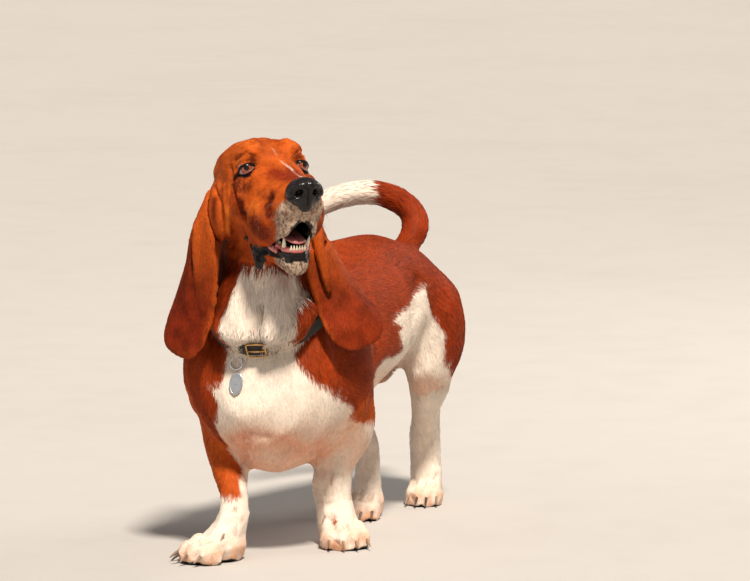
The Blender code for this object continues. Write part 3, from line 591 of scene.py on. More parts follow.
# The lids' openings. Angles are seen from the eyeball's middle, in degrees: outward from straight
# ahead, and upward.
INNER_CORNER, OUTER_CORNER = -34.0, 88.0
CORNER_RISE, CORNER_DROP = 8.0, 0.27
UPPER_LID, LOWER_LID = 21.5, 26.0
LID_THICKNESS = 0.0013
# How far from the eyeball's middle the lids reach, and how far their skin fades into the face's.
LID_REACH, LID_FADE = 0.026, 0.006


def eye_centre(side):
    return Vector((side * EYE_SPACING / 2, 0, 0))


def lid_opening(local, side):
    """Degrees inside the lids' edge, positive over the open eye, and the distance from the eye."""
    away = local - np.array(eye_centre(side))
    distance = np.linalg.norm(away, axis=1)
    outward = np.degrees(np.arctan2(side * away[:, 0], -away[:, 1]))
    rise = np.degrees(np.arcsin(np.clip(away[:, 2] / np.maximum(distance, 1e-9), -1, 1)))
    middle, half = (INNER_CORNER + OUTER_CORNER) / 2, (OUTER_CORNER - INNER_CORNER) / 2
    across = (outward - middle) / half
    chord = CORNER_RISE - CORNER_DROP * (outward - INNER_CORNER)
    arch = np.maximum(1 - across * across, 0) ** 0.75
    open_by = np.minimum(chord + UPPER_LID * arch - rise, rise - chord + LOWER_LID * arch)
    beyond = (np.abs(across) - 1) * half
    gap = np.hypot(np.maximum(beyond, 0), np.where(beyond > 0, rise - chord, 0))
    return np.where(beyond > 0, -gap, open_by), distance


def lid_edge(side, steps, reach, scale):
    """Points along one lid's edge, reach degrees above the corners, on a ball round the eyeball."""
    found = []
    for share in np.linspace(0, 1, steps):
        outward = INNER_CORNER + (OUTER_CORNER - INNER_CORNER) * share
        arch = max(1 - (2 * share - 1) ** 2, 0) ** 0.75
        rise = CORNER_RISE - CORNER_DROP * (outward - INNER_CORNER) + reach * arch
        way = heading(side * outward, rise)
        found.append(eye_centre(side) + way * EYE_RADIUS * scale)
    return found


# Folds: the line's points, how wide it is, and how far it stands out or, below zero, cuts in, in
# millimetres. These are the face's, in the head's frame, on its left side and mirrored to the right.
FACE_FOLDS = metres((
    (((47, 6, 7), (43, -2, 12), (36, -10, 13), (29, -12, 11)), 3, 1.6),
    (((47, 14, 13), (43, 0, 18), (36, -8, 21), (28, -11, 14)), 2.4, -2),
    (((52, 20, 4), (57, 8, -16), (57, -2, -29), (54, -7, -44), (51, -6, -57), (46, -10, -70)), 3.2, -3),
    (((64, 56, -20), (65, 43, -32), (63, 32, -44), (62, 33, -64), (59, 41, -83), (40, 74, -97)), 4, -3.8),
    (((58, 13, -15), (60, 9, -32), (59, 17, -52), (51, 33, -75), (36, 63, -90)), 3, -2.4),
    (((60, 30, -20), (62, 22, -36), (60, 24, -56), (55, 36, -78)), 4.2, 2.6),
    (((50, -2, -20), (52, -8, -34), (48, -12, -52)), 5, 1.8),
    (((38, -18, -13), (45, -8, -16), (50, 4, -14)), 2.2, -1.2),
    (((10, 0, 30), (13, 30, 40), (16, 55, 43)), 3.4, -0.9),
    (((22, 4, 33), (28, 22, 37), (36, 40, 36)), 6, 1.6),
    (((0, -45, -6), (0, -80, -14), (0, -104, -20)), 4, -0.8),
    (((0, 0, 24), (0, 30, 34), (0, 60, 41)), 4.5, -1.4),
    (((30, -60, -38), (33, -40, -50), (36, -22, -70)), 6, 1.6),
    (((26, -80, -44), (31, -58, -50), (34, -40, -62)), 2.6, -1),
))
# Folds of the body, in the dog's frame.
BODY_FOLDS = metres((
    (((13, -252, 372), (12, -257, 342), (11, -258, 322)), 8.5, -3),
    (((11, -257, 345), (9, -257, 325), (7, -250, 303)), 5.5, -9),
    (((59, -166, 153), (44, -117, 131), (30, -80, 115)), 5, -4),
    (((-19, -229, 164), (-25, -210, 144), (-42, -182, 122)), 5, -3.5),
    (((-40, -225, 162), (-11, -234, 173), (15, -228, 169)), 6, -2),
    (((31, -216, 164), (40, -183, 144)), 6, -2.4),
    (((17, -70, 77), (40, -77, 71), (59, -62, 76)), 3.5, -2.4),
    (((23, -71, 61), (50, -77, 53), (63, -47, 56)), 3.5, -2.2),
    (((20, -75, 100), (41, -73, 104), (59, -62, 92)), 4, -1.8),
    (((-58, -218, 79), (-41, -225, 75), (-30, -213, 78)), 3.5, -2.2),
    (((-66, -226, 53), (-41, -239, 51), (-27, -221, 55)), 3.5, -2.2),
    (((102, 255, 194), (92, 233, 171), (56, 223, 162)), 6, -3),
    (((-30, -238, 372), (-40, -232, 345), (-44, -224, 318)), 6, -3.5),
    (((46, -215, 372), (55, -200, 348), (60, -190, 325)), 6, -3.5),
    (((100, 150, 345), (104, 110, 318), (100, 85, 285), (88, 90, 245)), 10, -5),
    (((100, -34, 220), (91, 10, 208), (78, 60, 200)), 26, -10.5),
    (((58, -215, 338), (42, -240, 322), (26, -252, 316)), 14, 8.5),
    (((-48, -215, 335), (-30, -240, 318), (-10, -252, 315)), 14, 8.5),
    (((36, -240, 375), (38, -240, 335)), 12, 5.5),
    (((-18, -250, 375), (-22, -245, 335)), 12, 5.5),
    (((-52, -205, 304), (-21, -245, 296), (9, -253, 300), (36, -246, 298), (60, -205, 306)), 5.5, -5),
))
# The body's folds whose pits show pink skin.
PINK_FOLDS = BODY_FOLDS[2:6]
# Folds of both sides, from the dog's middle: neck, shoulder blade, behind the elbow, thigh.
SIDE_FOLDS = metres((
    (((44, -205, 400), (58, -200, 372), (68, -195, 345)), 6.5, -3.4),
    (((52, -165, 410), (68, -165, 375), (82, -170, 335)), 7.5, -3.4),
    (((46, -120, 420), (70, -120, 375), (90, -135, 325)), 8.5, -2.8),
    (((48, -185, 405), (63, -182, 372), (75, -182, 340)), 7, 2.2),
    (((95, -170, 300), (108, -175, 255), (108, -170, 215)), 12, -2.6),
    (((70, -30, 360), (105, -40, 310), (112, -70, 250), (105, -85, 205)), 12, -3),
    (((60, 120, 365), (85, 105, 325), (92, 110, 280)), 13, -2.6),
    (((55, 290, 310), (75, 285, 260), (70, 265, 205)), 11, -3),
    (((75, 160, 215), (85, 200, 190), (70, 235, 175)), 7, -2.6),
))
# Folds of the right ear's front; the first parts its rolled edge from the rest.
EAR_FOLDS = metres((
    (((-86, -250, 457), (-84, -250, 425), (-84, -250, 400), (-78, -250, 363), (-71, -250, 333)), 3, -4),
    (((-66, -250, 448), (-64, -250, 405), (-64, -250, 364), (-67, -250, 334)), 3.4, -4),
    (((-77, -250, 452), (-76, -250, 404), (-70, -250, 363), (-69, -250, 345)), 5, 2.6),
    (((-90, -250, 440), (-93, -250, 390), (-96, -250, 340)), 6, 1.2),
))
EAR_GROOVE = EAR_FOLDS[0][0]
# Folds of the nose leather, in the head's frame: wings, nostrils and the groove between them.
NOSE_FOLDS = metres((
    (((19, -117, -34), (20.5, -116, -41), (18, -119, -48)), 5, 1.8),
    (((6, -126, -37), (6.2, -126, -45), (5, -124, -52)), 3, 1.2),
    (((17, -123.5, -31), (11, -128.5, -30), (5, -128.5, -30)), 3.4, 1.2),
    (((10.5, -125.5, -41), (13, -123.5, -42)), 3.6, -8.5),
    (((15, -122.5, -44), (19.5, -118, -47), (23, -112, -48)), 1.9, -4),
    (((0, -128.5, -36), (0, -126.5, -48), (0, -123, -62)), 1.5, -2.4),
    (((0, -123, -21), (0, -129, -30)), 2.2, -0.6),
))


def mirrored(folds):
    """The folds with their twins on the other side, apart from those in the middle."""
    found = []
    for line, width, height in folds:
        found.append((line, width, height))
        if abs(line[0][0]) > 0.003:
            found.append((tuple((-x, y, z) for x, y, z in line), width, height))
    return found


def fold(surface, place, mask, folds, strength=1.0):
    """Presses creases into the surface and raises ridges on it, along its normals."""
    normals, tree = surface.normals(), surface.tree()
    lift = np.zeros(mask.sum())
    for line, width, height in folds:
        near = [tree.find_nearest(place @ Vector(point))[0] for point in line]
        lift += height * strength * on_stroke(surface.points[mask], with_radius(near, 0.0), width)
    surface.points[mask] += normals[mask] * lift[:, None]


def part_value(parts, column):
    return np.array([PARTS[name][column] for name in PART_NAMES])[parts]


def in_parts(parts, *starts):
    wanted = [number for number, name in enumerate(PART_NAMES) if name.startswith(starts)]
    return np.isin(parts, wanted)


def parts_near(points):
    """The number of the nearest part of the construction, apart from the ears, for each point."""
    corners, faces, owners = [], [], []
    for number, name in enumerate(SHAPE_NODES):
        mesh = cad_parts[name].data
        mesh.calc_loop_triangles()
        start = len(corners)
        corners.extend(vert.co[:] for vert in mesh.vertices)
        for triangle in mesh.loop_triangles:
            faces.append([start + corner for corner in triangle.vertices])
            owners.append(number)
    tree = BVHTree.FromPolygons(corners, faces)
    return np.array([owners[tree.find_nearest(point)[2]] for point in points.tolist()])


def paw_place(name):
    (x, y), outward, _ = PAWS[name]
    return Matrix.Translation(ORIGIN + Vector((x, y, -ORIGIN.z))) @ turned(outward, "Z")


def add_paw_detail(bm):
    """Rounded toes and knuckles over the construction's paws."""
    for name, (_, _, (width, length)) in PAWS.items():
        place = paw_place(name)
        for slot in (-1.5, -0.5, 0.5, 1.5):
            reach = -length * (0.25 if abs(slot) > 1 else 0.35)
            toe = (width * 0.128, length * 0.175, 0.0150)
            ball(bm, (slot * width * 0.228, reach, 0.0135), toe, place, -slot * 6)
            knuckle = (width * 0.115, length * 0.14, 0.0125)
            ball(bm, (slot * width * 0.205, reach + length * 0.15, 0.024), knuckle, place)


def paw_grooves():
    """Lines between the toes, in the dog's frame."""
    folds = []
    for name, (_, _, (width, length)) in PAWS.items():
        for gap in (-1, 0, 1):
            front = 0.50 if gap == 0 else 0.46
            rows = ((0.20, 0.02, 0.036), (0.225, 0.22, 0.030), (0.235, front, 0.012))
            line = [Vector((gap * width * x, -length * y, z)) for x, y, z in rows]
            folds.append(([paw_place(name) @ point for point in line], 0.0024, -0.0042))
    return folds


# The hanging edge of the left upper lip from below the nose backward, in the head's frame.
FLEW_EDGE = metres((
    (5, -97, -76.5), (15, -95.5, -86), (22, -84, -95.5), (26, -70, -98), (30, -50, -103), (35, -15, -105),
    (35, 12, -106),
))
# How far inside that edge, how far above it and how thick each of its rolls is.
LIP_ROLLS = metres(((3, 5.5, 5.5), (3.5, 13, 7.5), (4.5, 22, 9)))
# The wet fold that hangs from the corner of the lower lip, with its radius, and the black skin that
# joins it to the lower lip.
LIP_FOLD = metres(((31, 6, -105, 6), (32.5, -10, -110, 7.5), (31.5, -8, -123, 8), (30, -3, -132, 5.5)))
LIP_JOIN = metres(((31, 10, -104, 4), (31, -18, -107, 7), (26, -42, -106, 5)))
# The raised rim of the lower lip from the right corner to the middle, in the jaw's frame.
LOWER_LIP = metres((
    (-21.5, -20, -83, 4.2), (-20.5, -50, -82, 4.6), (-17, -71, -82.5, 4.8), (-9, -83, -83.5, 4.8),
))
# The sheath under the belly, in the dog's frame.
SHEATH = metres(((22.3, 160, 198, 9), (22.3, 190, 200, 10), (22.3, 218, 206, 7)))
# The two soft lobes of the throat above the collar, in the dog's frame: middle and half sizes.
THROAT_LOBES = metres((((-21, -228, 323), (29, 31, 35)), ((37, -218, 328), (31, 31, 35))))
# The rolled front edges of the ears in the dog's frame: two of the left and three of the right.
EAR_ROLLS = metres((
    ((56, -185, 480, 5.5), (64, -193, 460, 6.2), (69, -197, 440, 6.4), (75, -199, 415, 6.2),
     (82, -199, 388, 5.6), (88, -197, 362, 4.6)),
    ((56, -196, 430, 5), (60, -202, 410, 6), (64, -203, 385, 6), (72, -202, 360, 5),
     (79, -200, 340, 3.5)),
    ((-64, -232, 494, 6), (-65, -246, 477, 6.8), (-71, -248, 464, 6.8), (-78, -249, 445, 6.4),
     (-80, -250, 426, 6), (-79, -252, 406, 5.6), (-75, -253, 384, 5), (-72, -253, 360, 4.2),
     (-70, -252, 342, 3)),
    ((-60, -218, 485, 6), (-69, -228, 470, 8), (-82, -230, 450, 8.5), (-88, -232, 426, 8.5),
     (-93, -233, 395, 7.5), (-96, -234, 360, 5)),
    ((-59, -228, 472, 7), (-58, -236, 452, 8), (-58, -238, 428, 7.5), (-60, -240, 401, 6.5),
     (-60, -240, 375, 5)),
))


def arch(half):
    """Rows from the right corner to the middle, carried on to the left corner."""
    return [*half, *((-x, *rest) for x, *rest in half[::-1])]


def add_face_forms(bm):
    """Closed eyelids' bulk over the eyeballs, cheek pads, and the thick rolls of the lips."""
    for side in (-1, 1):
        ball(bm, eye_centre(side), (EYE_RADIUS + 0.0016,) * 3, HEAD)
        ball(bm, (side * 0.044, 0.000, -0.019), (0.008, 0.014, 0.012), HEAD)
        ball(bm, (side * 0.030, -0.028, -0.078), (0.011, 0.040, 0.020), HEAD)
        for inward, up, radius in LIP_ROLLS:
            rope(bm, [(side * (x - inward), y + 0.002, z + up, radius) for x, y, z in FLEW_EDGE], place=HEAD)
        rope(bm, [(side * x, y, z, radius) for x, y, z, radius in LIP_FOLD], place=HEAD)
    rope(bm, arch(LOWER_LIP), place=JAW)


def body_shell(grain):
    bm = nodes_mesh(sorted(SHAPE_NODES))
    bm.normal_update()
    for vert in bm.verts:
        vert.co += vert.normal * 0.0006
    add_face_forms(bm)
    add_paw_detail(bm)
    for centre, radii in THROAT_LOBES:
        ball(bm, centre, radii)
    rope(bm, SHEATH)
    return voxel_mesh(bm, grain)


def ear_shell(grain):
    bm = nodes_mesh(EAR_NODES)
    for rows in EAR_ROLLS:
        rope(bm, rows)
    return voxel_mesh(bm, grain)


def thin_far_parts(obj, parts, triangles):
    """Fewer, larger faces behind the head."""
    group = obj.vertex_groups.new(name="far")
    far = np.flatnonzero(~in_parts(parts, "head", "jaw"))
    group.add(far.tolist(), 1.0, "REPLACE")
    ratio = min(triangles / len(Surface(obj.data).triangles), 1.0)
    with_modifier(obj, "DECIMATE", ratio=ratio, vertex_group=group.name)
    obj.vertex_groups.clear()


def split_faces(obj, reach):
    """Halves the edges of the faces whose middle is that near to an eye."""
    bm = bmesh.new()
    bm.from_mesh(obj.data)
    middles = np.array([face.calc_center_median()[:] for face in bm.faces])
    away = np.linalg.norm(one_side(in_head(middles)) - np.array(eye_centre(1)), axis=1)
    bm.faces.ensure_lookup_table()
    chosen = [bm.faces[number] for number in np.flatnonzero(away < reach)]
    edges = list({edge for face in chosen for edge in face.edges})
    bmesh.ops.subdivide_edges(bm, edges=edges, cuts=1, use_grid_fill=True)
    bm.to_mesh(obj.data)
    bm.free()


def shape_lids(surface):
    """Lids that follow the eyeball, with a hollow under their opening."""
    lid, hollow = EYE_RADIUS + LID_THICKNESS, EYE_RADIUS * 0.80
    for side in (-1, 1):
        opening, distance = lid_opening(in_head(surface.points), side)
        centre = np.array(HEAD @ eye_centre(side))
        way = unit(surface.points - centre)
        ahead = way @ np.array(HEAD.to_3x3() @ Vector((side * 0.35, -0.94, 0)))
        near = (distance < LID_REACH) & (ahead > -0.25)
        skin = lid + (distance - lid) * eased((-opening - 7) / 30)
        skin = np.where(opening > -7, lid, skin)
        radius = skin + (hollow - skin) * eased((opening + 1.0) / 4.0)
        share = eased((LID_REACH - distance) / LID_FADE) * eased((ahead + 0.25) / 0.2)
        radius = distance + (radius - distance) * share
        surface.points[near] = centre + way[near] * radius[near, None]


def settle_ears(ears, body, clear):
    """Keeps the hanging part of the ears clear of the neck."""
    tree = body.tree()
    for number, point in enumerate(ears.points.tolist()):
        place, normal, _, distance = tree.find_nearest(point)
        side = (Vector(point) - place).dot(normal)
        low = point[2] < HEAD.translation.z - 0.045
        if low and (side < 0 or distance < clear):
            ears.points[number] = place + normal * clear


class Skin:
    """What later pieces need of the finished skin."""

    surface = None
    parts = None
    normals = None
    lie = None
    tree = None


BODY_TRIANGLES = 130000
EAR_GRAIN = 0.0025
EAR_COVER, EAR_CLEAR = 0.0016, 0.0016


def shaped_body(shell, folds):
    """Softens the shell part by part, sets it inside the coat and folds it; returns its parts."""
    body = Surface(shell.data)
    parts = parts_near(body.points)
    rounds = body.blurred(part_value(parts, ROUNDS).astype(float), 12)
    rounds *= 1 - 0.9 * np.exp(-((outside(body.points, SHEATH) / 0.020) ** 2))
    body.soften(rounds)
    body.write()
    thin_far_parts(shell, parts, BODY_TRIANGLES)
    split_faces(shell, 0.021)
    split_faces(shell, 0.016)
    body = Surface(shell.data)
    parts = parts_near(body.points)
    depth = body.blurred(part_value(parts, DEPTH), 10) * eased(body.points[:, 2] / 0.012)
    body.points -= body.normals() * depth[:, None]
    face = in_parts(parts, "head", "jaw", "neck")
    behind = ~in_parts(parts, "head", "jaw")
    fold(body, HEAD, face, mirrored(FACE_FOLDS), folds)
    fold(body, DOG, behind, BODY_FOLDS, folds)
    fold(body, DOG, behind, mirrored(SIDE_FOLDS), folds)
    fold(body, DOG, in_parts(parts, "paw"), paw_grooves())
    crinkle = on_stroke(one_side(in_head(body.points)), LIP_FOLD, 0.004) * face
    ripple = 0.0012 * soft_noise(body.points, 0.0045) + 0.0006 * soft_noise(body.points, 0.002)
    body.points += body.normals() * (crinkle * ripple)[:, None]
    shape_lids(body)
    body.points[:, 2] = np.maximum(body.points[:, 2], 0.0)
    body.write()
    return body, parts


def shaped_ears(shell, body):
    ears = Surface(shell.data)
    ears.points += ears.normals() * EAR_COVER
    ears.soften(6)
    fold(ears, DOG, np.ones(len(ears.points), bool), EAR_FOLDS)
    settle_ears(ears, body, EAR_CLEAR)
    ears.soften(1)
    ears.write()
    numbers = [PART_NAMES.index(name) for name in EAR_NODES]
    return np.where(ears.points[:, 0] > 0, *numbers)


def build_skin():
    wanted = settings("basset_skin")
    body_obj = body_shell(wanted.grain)
    body, parts = shaped_body(body_obj, wanted.folds)
    ear_obj = ear_shell(EAR_GRAIN)
    ear_parts = shaped_ears(ear_obj, body)
    whole = bmesh.new()
    for obj in (body_obj, ear_obj):
        whole.from_mesh(obj.data)
        discard(obj)
    skin = object_from("skin", whole, skin_material())
    Skin.surface = Surface(skin.data)
    Skin.parts = np.concatenate([parts, ear_parts])
    Skin.normals = Skin.surface.normals()
    Skin.tree = Skin.surface.tree()
    Skin.lie = hair_lie()
    colour, bare = coat_colours(Skin.surface.points, Skin.normals, Skin.parts)
    paint(skin.data, "coat", colour * 0.94)
    skin.data.attributes.new("bare", "FLOAT", "POINT").data.foreach_set("value", bare)
    finished(skin, "red_coat", *(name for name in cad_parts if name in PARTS))
    print("skin", len(Skin.surface.triangles), "triangles")


def paint(mesh, name, colour):
    layer = mesh.color_attributes.new(name, "FLOAT_COLOR", "POINT")
    rows = np.ones((len(colour), 4))
    rows[:, :3] = np.clip(colour, 0, 1)
    layer.data.foreach_set("color", rows.ravel())


# The way the hair points on the parts where it is the same all over.
PART_LIE = {
    "rump": (0, 0.75, -0.60),
    "thigh": (0, 0.55, -0.85),
    "forearm": (0, 0.10, -1.0),
    "lower_leg": (0, 0.10, -1.0),
    "ear": (0, 0.0, -1.0),
}


def hair_lie():
    """The way the hair points over the skin: back along the head and trunk, down ears and legs."""
    points, normals, parts = Skin.surface.points, Skin.normals, Skin.parts
    lie = np.tile((0, 1.0, -0.35), (len(points), 1))
    local = in_head(points)
    away = local - np.array((0, -0.125, 0.010))
    away[:, 2] -= 0.05 * (np.abs(local[:, 0]) > 0.02)
    face = unit(away) @ np.array(HEAD.to_3x3()).T
    behind = eased((points[:, 1] + 0.235) / 0.06)
    front = eased((-0.13 - points[:, 1]) / 0.07)
    for starts, ways in (
        (("head", "jaw"), face),
        (("neck",), mixed((0, -0.05, -1.0), (0, 0.75, -0.65), behind)),
        (("chest",), mixed((0, 1.0, -0.35), (0, 0.10, -1.0), front)),
    ):
        part = in_parts(parts, *starts)
        lie[part] = ways[part]
    for name, way in PART_LIE.items():
        lie[in_parts(parts, name)] = way
    for name in PAWS:
        ahead = paw_place(name).to_3x3() @ Vector((0, -1, -0.55))
        lie[in_parts(parts, "paw_" + name)] = np.array(ahead)
    tail = in_parts(parts, "tail")
    line = np.array(TAIL_LINE) + np.array(ORIGIN) * (1, 1, 0)
    closest = np.argmin(np.linalg.norm(points[tail][:, None] - line, axis=2), axis=1)
    lie[tail] = np.gradient(line, axis=0)[closest]
    lie = unit(lie)
    for _ in range(10):
        lie = unit(Skin.surface.blurred(lie, 2))
        lie = unit(lie - normals * (lie * normals).sum(axis=1, keepdims=True))
    return lie


# Markings, in millimetres. The thin white line down the forehead, in the head's frame.
BLAZE = metres((
    (1, 30, 41, -1.2), (-2.5, 5.5, 32.5, -0.4), (-0.5, -12.5, 19.5, -0.4), (4.5, -26.5, 3.5, 0),
    (12.5, -37, -4, 1.8), (13, -60, -9, 4.5), (9, -98, -18, 5),
))
# The white front of neck and chest: height, left and right borders, and how far back it reaches.
BIB = metres((
    (395, -18, 46, -170), (371, -26, 50, -165), (349, -34, 57, -150), (322, -45, 62, -140),
    (307, -46, 56, -140), (292, -46, 48, -140), (280, -46, 42, -140), (255, -47, 58, -130),
    (241, -50, 74, -120), (231, -66, 82, -100), (216, -56, 89, -80), (203, -58, 95, -60),
    (190, -60, 94, -40), (170, -68, 95, 0), (120, -80, 95, 0),
))
# The belly's white lies below this height: place along the dog, height on its left and right.
BELLY = metres((
    (-220, 190, 172), (-160, 203, 168), (-100, 185, 166), (-40, 168, 160), (50, 185, 185),
    (120, 212, 212), (200, 215, 215),
))
# The white patches on each thigh and flank, seen from the side: along the dog and up.
THIGH_PATCH = metres((
    (159, 334), (168, 296), (202, 262), (202, 231), (212, 205), (245, 175), (250, 150), (150, 150),
    (60, 190), (20, 205), (-30, 235), (-36, 252), (-1, 252), (39, 255), (21, 279), (37, 289), (11, 300),
    (57, 309), (101, 316), (131, 325),
))
RIGHT_THIGH_PATCH = metres((
    (200, 235), (175, 262), (135, 272), (95, 252), (60, 225), (60, 150), (220, 150), (225, 205),
))
# The right foreleg's red front: height and where the white of its inner side begins.
RIGHT_FORELEG = metres(((173, -66), (159, -60), (142, -58), (126, -48), (110, -42), (80, -30)))
# The left foreleg is white below this line: place along the dog and height.
LEFT_FORELEG = metres(((-190, 205), (-165, 200), (-138, 190), (-110, 178), (-83, 172), (-40, 165)))
# Small red spots on the white legs, with their radius.
SPOTS = metres(((46, -75, 88, 3), (54, -87, 35, 2.8), (-36, -226, 71, 3), (-32, -236, 38, 2.6)))
# Height in the head's frame and how far back the cream hair of the muzzle reaches there.
MUZZLE_BORDER = metres((
    (-34, -120), (-40, -112), (-50, -101), (-61, -88.5), (-75, -77), (-90, -70), (-105, -56),
))
BIB_TOP = 0.395
SOCK_TOP, HIND_SOCK_TOP = 0.082, 0.205
TAIL_WHITE_FROM = -0.022
# Dark and light hair of the face, with painted shade in some creases and painted highlights on some
# ridges, left side and mirrored, in the head's frame: the line with its radius and how far it fades
# in millimetres, the factor on the colour, its strength and how speckled it is.
FACE_SHADES = (
    # Painted shade along the cheek's crease.
    (((52, -12, -41, 1), (50, -11, -51, 1.5), (46, -14, -70, 1)), 4, (0.20, 0.14, 0.16), 0.95, 0.3),
    (((55, 4, -13, 3), (53, -7, -20, 4), (44, -15, -23, 3)), 7, (0.20, 0.16, 0.22), 1, 0.8),
    (((50, 4, -9, 1), (56, 8, -17, 1)), 2.6, (0.12, 0.12, 0.15), 0.9, 0.2),
    (((32, -76, -39, 1), (35, -70, -52, 2), (37, -75, -62, 2)), 6.5, (0.22, 0.13, 0.16), 0.9, 0.4),
    (((46, -40, -75, 5), (42, -50, -85, 6)), 12, (0.25, 0.15, 0.18), 1, 0.7),
    # Painted shade along the cheek's crease, higher up.
    (((56, -2, -30, 2), (54, -5, -45, 3), (50, -8, -62, 3)), 6, (0.40, 0.26, 0.30), 0.8, 0.5),
    (((68, 48, -36, 1), (66, 50, -60, 1)), 5, (0.35, 0.25, 0.30), 0.8, 0.2),
    (((46, -47, -54, 3), (47, -32, -50, 3)), 8, (1.40, 1.70, 1.70), 0.8, 0.2),
    (((33, 57, -93, 2), (42, 35, -85, 2)), 6, (1.35, 1.60, 1.60), 0.7, 0.2),
    # Painted highlight along the cheek's ridge.
    (((60, 22, -51, 2), (56, 42, -83, 2)), 4, (1.40, 1.80, 1.90), 0.8, 0.2),
    (((13, -42, -8, 4), (8, -58, -12, 6), (6, -87, -18, 6)), 9, (0.45, 0.28, 0.50), 0.85, 0.4),
    (((38, -10, 20, 0.5), (38, -6, 24, 0.5)), 4.5, (0.30, 0.22, 0.25), 0.35, 0.8),
    (((32, -9, 14, 1), (27, -14, 10, 1)), 3.5, (0.18, 0.14, 0.16), 0.7, 0.3),
    # Painted highlight on the ridge above the upper lid.
    (((44, 3, 13, 1), (48, 8, 10, 1)), 2.2, (1.30, 1.90, 2.40), 0.8, 0),
    # Painted highlight on the forehead's ridge.
    (((26, 5, 33, 4), (28, 30, 40, 6)), 12, (1.25, 1.35, 1.30), 0.7, 0.2),
    # Painted shade in the forehead's crease.
    (((12, 0, 27, 2), (11, 30, 40, 2)), 6, (0.60, 0.48, 0.50), 0.6, 0.4),
)


class Places:
    """Points on the dog, with what the markings need to know of each."""

    def __init__(self, points, normals, parts):
        self.points, self.normals, self.parts = points, normals, parts
        self.local = in_head(points)
        self.mirror = one_side(self.local)
        self.broad = soft_noise(points, 0.045)
        self.middle = soft_noise(points + 3.1, 0.013)
        self.fine = soft_noise(points + 7.7, 0.004)

    def on(self, *starts):
        return in_parts(self.parts, *starts)


def white_depth(at):
    """How far inside a white marking each point lies, in metres; red where it is below zero."""
    x, y, z = at.points.T
    depth = np.full(len(x), -0.05)
    borders = (x - table(z, BIB, 1), table(z, BIB, 2) - x, table(z, BIB, 3) - y, BIB_TOP - z)
    behind = 0.036 * eased((y - 0.235) / 0.05)
    behind = behind - 0.016 * soft_noise(at.points, 0.040) * eased((y - 0.1) / 0.1)
    belly = np.where(x > 0.0, table(y, BELLY, 1), table(y, BELLY, 2)) - z - behind
    trunk = at.on("chest", "neck", "loin", "rump", "forearm", "thigh")
    depth[trunk] = np.maximum(np.minimum.reduce(borders), belly)[trunk]
    side = np.stack([y, z], axis=1)
    left = at.on("thigh_left", "loin", "rump", "chest") & (x > 0.025)
    right = at.on("thigh_right", "loin", "rump") & (x < 0.0)
    for flank, patch in ((left, THIGH_PATCH), (right, RIGHT_THIGH_PATCH)):
        depth[flank] = np.maximum(depth, depth_in_outline(side, patch))[flank]
    leg = at.on("forearm_right") | (at.on("chest") & (x < -0.045) & (z < 0.19))
    depth[leg] = np.maximum(x - table(z, RIGHT_FORELEG, 1), SOCK_TOP - z)[leg]
    for name, own in (
        ("forearm_left", table(y, LEFT_FORELEG, 1) - z),
        ("paw", np.full(len(x), 0.05)),
        ("lower_leg", HIND_SOCK_TOP - z - behind),
        ("tail", TAIL_WHITE_FROM - x),
    ):
        depth[at.on(name)] = own[at.on(name)]
    for spot in SPOTS:
        depth = np.minimum(depth, outside(at.points, [spot]))
    return depth


def mouth_mask(at):
    """1 on lips and inside the mouth, 0 on coated skin."""
    local, mirror = at.local, at.mirror
    facing = at.normals @ np.array(HEAD.to_3x3())
    across, along, up = mirror.T
    half = np.interp(along, (-0.088, -0.070, -0.040, 0.000, 0.030), (0.015, 0.0225, 0.0265, 0.0295, 0.0225))
    within = (across < half) & (along > -0.096) & (along < 0.045) & (up < -0.055) & (up > -0.112)
    inward = facing[:, 0] * np.sign(local[:, 0]) < 0.15
    cavity = at.on("head", "neck") & within & (inward | (facing[:, 2] < -0.6))
    cavity &= at.on("head") | (up > -0.095)
    low = moved(at.points, JAW.inverted())
    upward = (at.normals @ np.array(JAW.to_3x3()))[:, 2] > 0.15
    border = np.interp(low[:, 1], (-0.075, -0.050), (-0.0895, -0.0950))
    border = border + 0.0012 * soft_noise(at.points, 0.005)
    lower = at.on("jaw") & ((upward & (low[:, 2] > -0.094)) | (low[:, 2] > border))
    uneven = soft_noise(at.points, 0.006)
    corner = outside(mirror, LIP_FOLD) < 0.0034 + 0.0015 * uneven
    joining = outside(mirror, LIP_JOIN) < 0.0040 + 0.0020 * uneven
    corner |= joining & (up > -0.119) & (up < -0.1065)
    edge = outside(mirror, with_radius(FLEW_EDGE, 0.0)) < 0.0022
    return (cavity | lower | corner | (edge & at.on("head", "jaw"))).astype(float)


def ear_hair(at, coat):
    """Red above and mahogany below; painted highlight on rims and ridges, painted shade in creases."""
    x, _, z = at.points.T
    low = eased((0.455 - z) / 0.12)
    # Painted highlight where the skin turns edgeways, on the rolled rims; the lowest tips are lighter too.
    edgeways = np.where((x > 0)[:, None], (0.41, 0.91, 0.0), (0.83, -0.56, 0.0))
    rim = eased((np.abs((at.normals * edgeways).sum(axis=1)) - 0.55) / 0.35)
    rim = np.maximum(rim * 0.75, eased((0.295 - z) / 0.02) * 0.5)
    ear = mixed(np.array(coat.orange) * 0.85, coat.mahogany, low * 0.90 * (1 - rim))
    groove = np.array(EAR_GROOVE)[::-1]
    outer = (x < np.interp(z, groove[:, 2], groove[:, 0])) & (z < 0.465)
    ear = mixed(ear, coat.mahogany, outer * (1 - rim) * eased((0.47 - z) / 0.03) * 0.75)
    # Painted shade along the two creases and a painted highlight along the ridge.
    for line, _, height in EAR_FOLDS[:3]:
        near = on_stroke(at.points, with_radius(line, 0.003), 0.0022)
        ear = tinted(ear, (0.22, 0.15, 0.18) if height < 0 else (1.25, 1.25, 1.2), near * 0.85)
    return ear * (1 + 0.22 * at.middle * low)[:, None]


